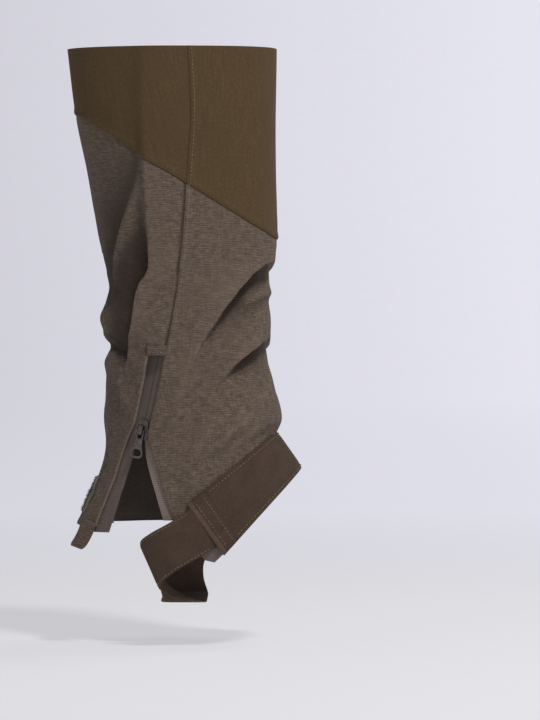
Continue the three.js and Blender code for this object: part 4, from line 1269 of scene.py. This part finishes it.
def build_sole_patch():
    x, y = np.meshgrid(np.linspace(-16.2, 16.2, 24), np.linspace(-15, 15, 24))
    edge = np.minimum(16.2 - np.abs(x), 15 - np.abs(y))
    ribs = 0.35 * (0.5 + 0.5 * np.cos(y * 2 * math.pi / 5)) * ease(edge, 2, 4)
    z = SOLE_Z - STRAP_THICK / 2 - 0.55 - ribs - 0.9 * ease(edge, 0, 1.5)
    outer = np.stack([x + SOLE_X, y + 2, z], -1)
    inner = np.stack([x + SOLE_X, y + 2, np.full_like(z, SOLE_Z - STRAP_THICK / 2 - 0.3)], -1)
    made = shell("strap_wear_patch", outer, inner, np.stack([x, y], -1), ("lining",))
    fasten(made, "lining", "strap_under")


def build_root_tab():
    outline = [(19, -370), (36, -372), (44, -382), (40.6, -386.6), (33.8, -393.2), (26.8, -391.6), (21.5, -386)]
    turn = Matrix(((1, 0, 0, 0), (0, 0, -1, -58.2), (0, 1, 0, 0), (0, 0, 0, 1)))
    made = rounded_plate("strap_root_tab_cloth", outline, 0, 1.1, "pale", turn, bevel=0.3)
    fasten(made, "pale_tape", "sleeve", "strap_root_tab")


# ---- zip ----
TAPE_WIDTH, TAPE_THICK, ZIP_GAP, ZIP_SINK = 12.5, 0.7, 0.16, 0.75
TAPE_INSET = 1.95


def zip_level(z):
    z = np.asarray(z, float)
    angle = angle_at(zip_middle_x(z), z, OUTER)
    normal = sleeve_normal(angle, z)
    return sleeve(angle, z) - normal * TAPE_INSET, normal


_top, _top_out = zip_level(ZIP_TOP_Z)
_low, _low_out = zip_level(SLIDER_Z)
ZIP_UP = unit(_top - _low)
ZIP_ACROSS = unit(np.cross(ZIP_UP, _top_out + _low_out))
ZIP_OUT = unit(np.cross(ZIP_ACROSS, ZIP_UP))
ZIP_ORIGIN = _low - ZIP_OUT * ZIP_SINK
_axes = np.column_stack([ZIP_ACROSS, ZIP_UP, ZIP_OUT, ZIP_ORIGIN])
ZIP_MATRIX = Matrix([[*map(float, row)] for row in _axes] + [[0, 0, 0, 1]])


# how far the closed zip's middle, drawn on the sleeve, bows away from the slider's straight way
_bow_z = np.linspace(SLIDER_Z, ZIP_TOP_Z, 30)
_bow = (zip_level(_bow_z)[0] - ZIP_ORIGIN) @ ZIP_ACROSS


def on_zip(x, z, inside):
    """A place on the zip's tapes, inside millimetres below their outer face, with its normal."""
    angle = angle_at(x, z, OUTER)
    normal = sleeve_normal(angle, z)
    sway = np.clip(relief(angle, z), -1.6, 2.2) * (1 - ease(z, -312, -299))
    point = sleeve(angle, z) + normal * (sway - TAPE_INSET)[..., None]
    place = point - ZIP_ORIGIN
    u, v = place @ ZIP_ACROSS, place @ ZIP_UP
    straight = u - np.interp(z, _bow_z, _bow)
    flat = ZIP_ORIGIN + straight[..., None] * ZIP_ACROSS + v[..., None] * ZIP_UP
    weight = np.clip((z + 312) / 13, 0, 1) * (1 - np.clip((np.abs(u) - 6.2) / 3.3, 0, 1))
    facing = unit(mix(normal, ZIP_OUT, weight[..., None]))
    return mix(point, flat, weight[..., None]) - facing * inside, facing


def front_inner_x(z):
    return np.where(z > SLIDER_Z, zip_middle_x(z) + ZIP_GAP, front_tape_x(z))


def rear_inner_x(z):
    return np.where(z > SLIDER_Z, zip_middle_x(z) - ZIP_GAP, rear_tape_x(z))


def tape(name, inner_x, way, top, bottom, look, body, node):
    rows = steps_for(top - bottom, 1.6)
    s, z = np.meshgrid(np.linspace(0, TAPE_WIDTH, 11), np.linspace(top, bottom, rows))
    x = inner_x(z) + way * s
    outer, normal = on_zip(x, z, 0.0)
    inner = outer - normal * TAPE_THICK
    fasten(shell(name, outer, inner, np.stack([s, z], -1), (look,)), "zip_tape", body, node)


def teeth(name, inner_x, way, top, bottom, body, node):
    """Coil teeth: short rounded loops across the tape's inner edge."""
    centres = np.arange(top, bottom, -sizes().tooth_pitch / MM)
    around, along = 6, 5
    share = np.linspace(0.0, 2.2, along)
    z = np.repeat(centres[:, None], along, axis=1)
    place, normal = on_zip(inner_x(z) + way * share[None], z, TAPE_THICK + 0.55)
    swell = 0.5 * np.sqrt(np.maximum(0.05, 1 - np.linspace(-1, 1, along) ** 4))[None, :, None, None]
    turn = 2 * math.pi * np.arange(around) / around
    out = normal[:, :, None] * swell * 1.25 * np.sin(turn)[None, None, :, None]
    rise = np.array([0.0, 0.0, 1.0]) * swell * np.cos(turn)[None, None, :, None]
    points = (place[:, :, None] + out + rise).reshape(-1, 3)
    made = new_object(name, points, rod_faces(len(centres), along, around), None, ("nylon",), None, 60)
    fasten(made, "zip_coil", body, node)


def build_zip():
    top = ZIP_TOP_Z + 3
    tape("zip_tape_front_cloth", front_inner_x, 1, top, -361.5, "pale_tape", "sleeve", "zip_tape_front")
    tape("zip_tape_rear_cloth", rear_inner_x, -1, top, CUFF_Z, "rear_tape", "sleeve", "zip_tape_rear_upper")
    tape("zip_tape_cuff_cloth", rear_inner_x, -1, CUFF_Z, -371, "rear_tape", "rear_cuff", "zip_tape_rear_lower")
    teeth("zip_teeth_front", front_inner_x, 1, top - 6, -358, "sleeve", "zip_coil_front")
    teeth("zip_teeth_rear", rear_inner_x, -1, top - 6, CUFF_Z, "sleeve", "zip_coil_rear_upper")
    teeth("zip_teeth_cuff", rear_inner_x, -1, CUFF_Z - 0.8, -361, "rear_cuff", "zip_coil_rear_lower")
    for node in ("zip_top_stop", "zip_bottom_stop_front", "zip_bottom_stop_rear"):
        frame["nodes"][node].data.materials.clear()
        frame["nodes"][node].data.materials.append(material("metal"))
    build_garage()


def build_garage():
    s, t = np.meshgrid(np.linspace(0, 1, 18), np.linspace(0, 1, 10))
    x, z = mix(-17.0, -2.2, s) + 0.8 * t, ZIP_TOP_Z + 6.5 - 7.5 * t
    angle = angle_at(x, z, OUTER)
    edge = np.minimum(np.minimum(s, 1 - s) * 15, np.minimum(t, 1 - t) * 7.5)
    outer, normal = cloth_frame(angle, z, 0.55 + 0.3 * ease(edge, 0.2, 2))
    inner = outer - normal * 0.9
    made = shell("zip_garage_cloth", outer, inner, np.stack([x, z], -1), ("taupe",))
    fasten(made, "taupe_cloth", "sleeve", "zip_garage")
    z = np.linspace(-226.5, -231.5, 14)
    bowed = -18.4 + 0.25 * (z + 229) ** 2 / 4
    rows = [cloth_frame(angle_at(bowed + k, z, OUTER), z, np.full(14, 0.5)) for k in (0, 0.5)]
    across, z = np.linspace(-15.5, -4.5, 30), np.full(30, ZIP_TOP_Z + 1.2)
    rows.append(cloth_frame(angle_at(across, z, OUTER), z, np.full(30, 0.95)))
    stitches("zip_bartack", rows, "tonal", "sleeve")


PLATE_HALF, CHANNEL, PLATE_THICK = 5.4, 0.45, 1.3
PIVOT = (0.0, -0.8, CHANNEL + PLATE_THICK + 1.25)


def slider_outline(scale):
    w = PLATE_HALF * scale
    return [
        (-w * 0.92, -6.9), (-w * 0.7, -7.8), (w * 0.7, -7.8), (w * 0.92, -6.9), (w, -5.6), (w * 0.97, -1),
        (w * 0.84, 3.5), (w * 0.62, 6.8), (w * 0.4, 7.6), (-w * 0.4, 7.6), (-w * 0.62, 6.8), (-w * 0.84, 3.5),
        (-w * 0.97, -1), (-w, -5.6),
    ]


def join_parts(name, parts):
    bm = bmesh.new()
    for part in parts:
        bm.from_mesh(part.data)
    mesh = bpy.data.meshes.new(name)
    bm.to_mesh(mesh)
    bm.free()
    mesh.materials.append(parts[0].data.materials[0])
    mesh.shade_smooth()
    mesh.set_sharp_from_angle(angle=math.radians(35))
    for part in parts:
        bpy.data.objects.remove(part)
    made = bpy.data.objects.new(name, mesh)
    bpy.context.scene.collection.objects.link(made)
    return made


def build_slider():
    top = CHANNEL + PLATE_THICK
    side = ZIP_MATRIX @ Matrix(((0, 0, 1, 0), (1, 0, 0, 0), (0, 1, 0, 0), (0, 0, 0, 1)))
    parts = [
        rounded_plate("part", slider_outline(1), CHANNEL, top, "metal", ZIP_MATRIX, [box(-1.6, 1.6, -6.9, -4.9)], bevel=0.3),
        rounded_plate("part", slider_outline(0.92), -4.3, -3.2, "metal", ZIP_MATRIX, bevel=0.3),
        rounded_plate("part", box(-0.11, 0.11, -5, 5), -3.4, CHANNEL + 0.3, "metal", ZIP_MATRIX, bevel=0),
    ]
    for way in (-1, 1):
        rail = [(way * x, y) for x, y in ((3.9, -7.2), (4.7, -7.2), (4.6, -1), (3.9, 3.6), (3.3, 3.6), (3.8, -1))]
        parts.append(rounded_plate("part", rail, top - 0.2, top + 0.45, "metal", ZIP_MATRIX, bevel=0.15))
    body = join_parts("slider_plates", parts)
    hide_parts("slider_body")
    arch = [(y, top + z) for y, z in (
        (-4.8, 0), (-4.7, 1.9), (-4.0, 2.75), (-3.0, 2.95), (1.8, 2.95), (2.8, 2.75), (3.5, 1.9), (3.6, 0),
        (2.5, 0), (2.4, 1.6), (2.0, 2.05), (-3.2, 2.05), (-3.6, 1.6), (-3.7, 0),
    )]
    bridge = rounded_plate("slider_arch", arch, -1.55, 1.55, "metal", side, bevel=0.4)
    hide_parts("slider_bridge")
    leaf = ((-3.3, 0.1), (-0.5, 0.35), (2.2, 0.1), (2.2, 0.35), (-0.5, 0.6), (-3.3, 0.35))
    spring = rounded_plate("slider_spring", [(y, top + z) for y, z in leaf], -0.6, 0.6, "metal", side, bevel=0.08)
    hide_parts("slider_lock_spring")
    for made in (body, bridge, spring):
        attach(made, "zip_slider")
    build_pull()


def box(left, right, bottom, top):
    return [(left, bottom), (right, bottom), (right, top), (left, top)]


def oval(x, y, width, height, steps=20):
    turns = [2 * math.pi * k / steps for k in range(steps)]
    return [(x + width / 2 * math.cos(t), y + height / 2 * math.sin(t)) for t in turns]


def build_pull():
    half = [
        (3.0, 0.5), (3.05, -4), (3.1, -8), (3.4, -11), (4.3, -13.8), (5.2, -16.2), (5.35, -18), (4.9, -20),
        (3.6, -21.4), (1.8, -22),
    ]
    outline = [(x, y + PIVOT[1]) for x, y in half] + [(-x, y + PIVOT[1]) for x, y in reversed(half)]
    holes = [box(-1.75, 1.75, PIVOT[1] - 6.2, PIVOT[1] - 0.55), oval(0, PIVOT[1] - 17.5, 8.4, 5.4)]
    low, high = PIVOT[2] - 0.5, PIVOT[2] + 0.5
    pull = rounded_plate("pull_plate", outline, low, high, "metal", ZIP_MATRIX, holes, bevel=0.22)
    fasten(pull, "zip_metal", "zip_pull", "pull_tab")


# ---- trims on the cuff ----
def pile_tufts(name, place, normal, body, seed):
    """Short bent fibres that stand on a strip of loop tape."""
    rng = np.random.default_rng(seed)
    length = sizes().pile_length / MM
    points, faces = [], []
    for p, n in zip(place, normal):
        lean = unit(n + rng.normal(0, 0.55, 3))
        side = unit(np.cross(lean, rng.normal(0, 1, 3))) * 0.09
        tall = length * rng.uniform(0.5, 1.1)
        bend = rng.normal(0, 0.35, 3) * tall * 0.5
        first = len(points)
        third = unit(np.cross(lean, side)) * 0.09
        for at, thin in ((0, 1.0), (0.5, 0.9), (1.0, 0.3)):
            centre = p + lean * tall * at + bend * at * at
            for k in range(3):
                turn = 2 * math.pi * k / 3
                points.append(centre + (side * math.cos(turn) + third * math.sin(turn)) * thin)
        for r in range(2):
            for k in range(3):
                m = (k + 1) % 3
                faces.append((first + 3 * r + k, first + 3 * r + m, first + 3 * r + 3 + m, first + 3 * r + 3 + k))
        faces.append((first + 2, first + 1, first))
        faces.append((first + 6, first + 7, first + 8))
    fasten(new_object(name, points, faces, None, ("pile",), None, 80), "hook_loop", body)


def build_cuff_trims():
    angle, z = np.meshgrid(np.linspace(2.52, 3.38, 60), np.linspace(-330, -358, 26))
    edge = np.minimum((z + 358), np.minimum(-330 - z, 50))
    outer, normal = cloth_frame(angle, z, 1.3 - 0.5 * (1 - ease(edge, 0, 1.2)))
    made = shell("cuff_loop_tape", outer, outer - normal * 1.0, np.stack([angle * 55, z], -1), ("pile",))
    fasten(made, "hook_loop", "rear_cuff", "cuff_loop_patch")
    rng = np.random.default_rng(11)
    angle, z = rng.uniform(2.54, 3.36, 1500), rng.uniform(-357, -331, 1500)
    place, normal = cloth_frame(angle, z, np.full(1500, 1.25))
    pile_tufts("cuff_loop_fibres", place, normal, "rear_cuff", 12)

    def inner(z):
        return angle_at(rear_edge_x(z), z, INNER) + 0.03

    def outer_edge(z):
        return wrapped(angle_at(rear_edge_x(z), z, OUTER)) - 0.2

    upper, lower = (lambda a, z=HEM_Z + above: np.full_like(a, z) for above in (16, 0.6))
    grid = panel_grid(inner, outer_edge, upper, lower, 110, 16, 2.2, shares=even_shares)
    made = panel("cuff_hem_turned", ("lining", "lining"), grid, -2.0, 0.7)
    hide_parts("cuff_hem_facing")
    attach(made, "rear_cuff")
    build_hem_tab()


def build_hem_tab():
    root = np.array([-63.4601, -25.6438, -365.8233])
    across, up, out = (0.58791, -0.79054, -0.17147), (0.10233, -0.1376, 0.98519), (-0.80243, -0.59675, 0.0)
    s, t = np.meshgrid(np.linspace(-1, 1, 22), np.linspace(0, 1, 26))
    width = 9.0 - 0.4 * t - 1.6 * ease(t, 0.86, 1.0) ** 2
    x, y = s * width - 5.0 * t * t, mix(3.0, -19.0, t)
    edge = np.minimum((1 - np.abs(s)) * 9, np.minimum(t, 1 - t) * 21)
    height = 1.6 + 5.5 * t * t + 0.5 * np.sin(t * 3.0)
    height = height - 0.5 * (1 - ease(edge, 0, 1.1)) - 0.25 * np.exp(-((edge - 2.4) ** 2) / 0.5)
    local = np.stack([x, y, height], -1)
    under = np.stack([x, y, height - 1.5], -1)

    def placed(points):
        return points[..., :1] * across + points[..., 1:2] * up + points[..., 2:] * out + root

    made = shell("hem_tab_cloth", placed(local), placed(under), np.stack([x, y], -1), ("taupe",))
    fasten(made, "taupe_cloth", "tab_of_hem", "hem_tab")
    path = np.array([(-7.0, -2.0), (-6.6, -15.6), (6.6, -15.6), (7.0, -2.0)])
    line = np.concatenate([np.linspace(a, b, 20) for a, b in zip(path, path[1:])])
    down = (3.0 - line[:, 1]) / 22
    line3 = np.column_stack([line[:, 0] - 5.0 * down**2, line[:, 1], 1.7 + 5.5 * down**2 + 0.5 * np.sin(down * 3.0)])
    stitches("hem_tab_stitches", [(placed(line3), np.tile(out, (len(line), 1)))], "tonal", "tab_of_hem")
    x, y = np.meshgrid(np.linspace(-6.5, 6.5, 14), np.linspace(-4.5, -15, 14))
    down = (3.0 - y) / 22
    low = 5.5 * down**2 + 0.5 * np.sin(down * 3.0)
    outer = placed(np.stack([x - 5.0 * down**2, y, low + 0.05], -1))
    inner = placed(np.stack([x - 5.0 * down**2, y, low - 0.8], -1))
    made = shell("hem_tab_hook_tape", outer, inner, np.stack([x, y], -1), ("pile",))
    fasten(made, "hook_loop", "tab_of_hem", "hem_tab_hook_patch")


# ---- studio ----
def build_camera():
    data = bpy.data.cameras.new("camera")
    camera = bpy.data.objects.new("camera", data)
    bpy.context.scene.collection.objects.link(camera)
    distance, elevation = 3.4, math.radians(1.0)
    target = Vector((0.0759, 0.0, -0.240))
    camera.location = target + Vector((0, -math.cos(elevation), math.sin(elevation))) * distance
    camera.rotation_euler = (target - camera.location).to_track_quat("-Z", "Y").to_euler()
    data.sensor_width = 36.0
    data.lens = 36.0 * distance / 0.5573
    data.clip_end = 50
    bpy.context.scene.camera = camera


def area_light(name, place, target, size, power, colour=(1, 1, 1)):
    data = bpy.data.lights.new(name, "AREA")
    data.shape, data.size, data.energy, data.color = "DISK", size, power, colour
    lamp = bpy.data.objects.new(name, data)
    lamp.location = place
    lamp.rotation_euler = (Vector(target) - Vector(place)).to_track_quat("-Z", "Y").to_euler()
    lamp.visible_camera = False
    bpy.context.scene.collection.objects.link(lamp)


def studio_paper():
    """Pale paper that glows a little, so that it stays plain from every side. Its glow is painted light: brighter
    towards +x, as light falling from that side, and brighter away from the middle, where the paper reflects less of the
    lamps.
    """
    n = Nodes("studio_paper")
    place = n.object_place()
    parts = n.add("ShaderNodeSeparateXYZ", {0: place})
    flat = n.add("ShaderNodeCombineXYZ", {0: parts.outputs[0], 1: parts.outputs[1]}).outputs[0]
    reach = n.add("ShaderNodeVectorMath", {0: flat}, operation="LENGTH").outputs[1]
    # Painted light: the glow rises away from the middle and towards +x, standing in for how the studio's light falls on
    # the paper.
    away = n.ramp(reach, 0.7, 1.9)
    across = n.add("ShaderNodeMapRange", {0: parts.outputs[0], 1: -0.6, 2: 0.7, 3: 0.88, 4: 1.07}).outputs[0]
    grain = n.add("ShaderNodeMapRange", {0: n.noise(place, 60.0, 2.0), 1: 0.0, 2: 1.0, 3: 0.985, 4: 1.015}).outputs[0]
    glow = n.mix(away, (0.53, 0.53, 0.555, 1), (0.71, 0.705, 0.78, 1))
    level = n.math("MULTIPLY", across, grain)
    n.join(glow, n.shader.inputs["Emission Color"])
    n.join(level, n.shader.inputs["Emission Strength"])
    n.join(n.mix(away, (0.3, 0.3, 0.32, 1), (0.05, 0.05, 0.055, 1)), n.shader.inputs["Base Color"])
    n.shader.inputs["Roughness"].default_value = 0.9
    n.shader.inputs["Specular IOR Level"].default_value = 0.0
    return n.material


def build_stage():
    floor_z, radius, bend, top = -0.4585, 7.5, 0.6, 1.75
    profile = [(r, floor_z) for r in (0.4, 1.0, 2.0, 3.0, 5.0)]
    profile += [
        (radius - bend + bend * math.sin(t), floor_z + bend - bend * math.cos(t))
        for t in np.linspace(0, math.pi / 2, 12)
    ]
    profile.append((radius, top))
    around = 96
    turns = [2 * math.pi * k / around for k in range(around)]
    points = [(0.0, 0.0, floor_z)]
    for r, z in profile:
        points += [(r * math.cos(t), r * math.sin(t), z) for t in turns]
    faces = [(0, 1 + k, 1 + (k + 1) % around) for k in range(around)]
    for i in range(len(profile) - 1):
        a, b = 1 + i * around, 1 + (i + 1) * around
        faces += [(a + k, b + k, b + (k + 1) % around, a + (k + 1) % around) for k in range(around)]
    mesh = bpy.data.meshes.new("studio_sweep")
    mesh.from_pydata(points, [], faces)
    mesh.shade_smooth()
    mesh.materials.append(studio_paper())
    sweep = bpy.data.objects.new("studio_sweep", mesh)
    bpy.context.scene.collection.objects.link(sweep)
    aim = (0, 0, -0.22)
    area_light("key", (0.8, -1.3, 2.0), aim, 0.4, 42, (1.0, 0.985, 0.96))
    area_light("fill", (1.42, -4.1, 0.75), aim, 1.4, 10.6, (0.97, 0.98, 1.0))
    area_light("top", (0.9, 0.6, 1.9), aim, 0.8, 8)
    world = bpy.data.worlds.new("studio_air")
    world.use_nodes = True
    background = world.node_tree.nodes["Background"]
    background.inputs[0].default_value = (0.86, 0.88, 0.94, 1)
    background.inputs[1].default_value = 0.12
    bpy.context.scene.world = world
    bpy.context.scene.view_settings.view_transform = "Standard"


# ---- operators ----
class CameraOperator(bpy.types.Operator):
    """Places the camera at the outer side of the leg"""

    bl_idname = "gaiter.camera"
    bl_label = "Camera"

    def execute(self, context):
        build_camera()
        return {"FINISHED"}


class UpperOperator(bpy.types.Operator):
    """Builds the olive upper cloth and its top hem"""

    bl_idname = "gaiter.upper"
    bl_label = "Upper cloth"

    def execute(self, context):
        build_upper()
        return {"FINISHED"}


class LowerOperator(bpy.types.Operator):
    """Builds the ribbed lower cloth, front and rear, with its cuff"""

    bl_idname = "gaiter.lower"
    bl_label = "Lower cloth"

    def execute(self, context):
        build_lower_front()
        build_lower_rear()
        return {"FINISHED"}


class SeamOperator(bpy.types.Operator):
    """Sews the panels' seams"""

    bl_idname = "gaiter.seams"
    bl_label = "Seams"

    def execute(self, context):
        build_panel_stitches()
        return {"FINISHED"}


class BandOperator(bpy.types.Operator):
    """Builds the band over the instep"""

    bl_idname = "gaiter.band"
    bl_label = "Instep band"

    def execute(self, context):
        build_band()
        return {"FINISHED"}


class StrapOperator(bpy.types.Operator):
    """Builds the strap under the boot's arch"""

    bl_idname = "gaiter.strap"
    bl_label = "Strap"

    def execute(self, context):
        build_strap()
        return {"FINISHED"}


class ZipOperator(bpy.types.Operator):
    """Builds the zip's tapes, teeth, stops and garage"""

    bl_idname = "gaiter.zip"
    bl_label = "Zip"

    def execute(self, context):
        build_zip()
        return {"FINISHED"}


class SliderOperator(bpy.types.Operator):
    """Builds the zip's slider and pull"""

    bl_idname = "gaiter.slider"
    bl_label = "Slider and pull"

    def execute(self, context):
        build_slider()
        return {"FINISHED"}


class CuffOperator(bpy.types.Operator):
    """Builds the rear cuff's loop tape, turned hem and tab"""

    bl_idname = "gaiter.cuff"
    bl_label = "Cuff trims"

    def execute(self, context):
        build_cuff_trims()
        return {"FINISHED"}


class StageOperator(bpy.types.Operator):
    """Builds the studio's sweep and lights"""

    bl_idname = "gaiter.stage"
    bl_label = "Studio"

    def execute(self, context):
        build_stage()
        return {"FINISHED"}


OPERATORS = (
    CameraOperator, UpperOperator, LowerOperator, SeamOperator, BandOperator, StrapOperator, ZipOperator,
    SliderOperator, CuffOperator, StageOperator,
)


class GaiterPanel(bpy.types.Panel):
    """Lists the gaiter's pieces and settings"""

    bl_idname = "GAITER_PT_panel"
    bl_label = "Gaiter"
    bl_space_type = "VIEW_3D"
    bl_region_type = "UI"
    bl_category = "Gaiter"

    def draw(self, context):
        for operator in OPERATORS:
            self.layout.operator(operator.bl_idname)
        for group in (context.scene.gaiter_sizes, context.scene.gaiter_colours):
            for name in group.__annotations__:
                self.layout.prop(group, name)


CLASSES = (GaiterSizes, GaiterColours, *OPERATORS, GaiterPanel)


def register():
    for cls in CLASSES:
        bpy.utils.register_class(cls)
    bpy.types.Scene.gaiter_sizes = PointerProperty(type=GaiterSizes)
    bpy.types.Scene.gaiter_colours = PointerProperty(type=GaiterColours)


def unregister():
    del bpy.types.Scene.gaiter_sizes
    del bpy.types.Scene.gaiter_colours
    for cls in reversed(CLASSES):
        bpy.utils.unregister_class(cls)


def main():
    register()
    for operator in OPERATORS:
        group, name = operator.bl_idname.split(".")
        getattr(getattr(bpy.ops, group), name)()


if __name__ == "__main__":
    main()
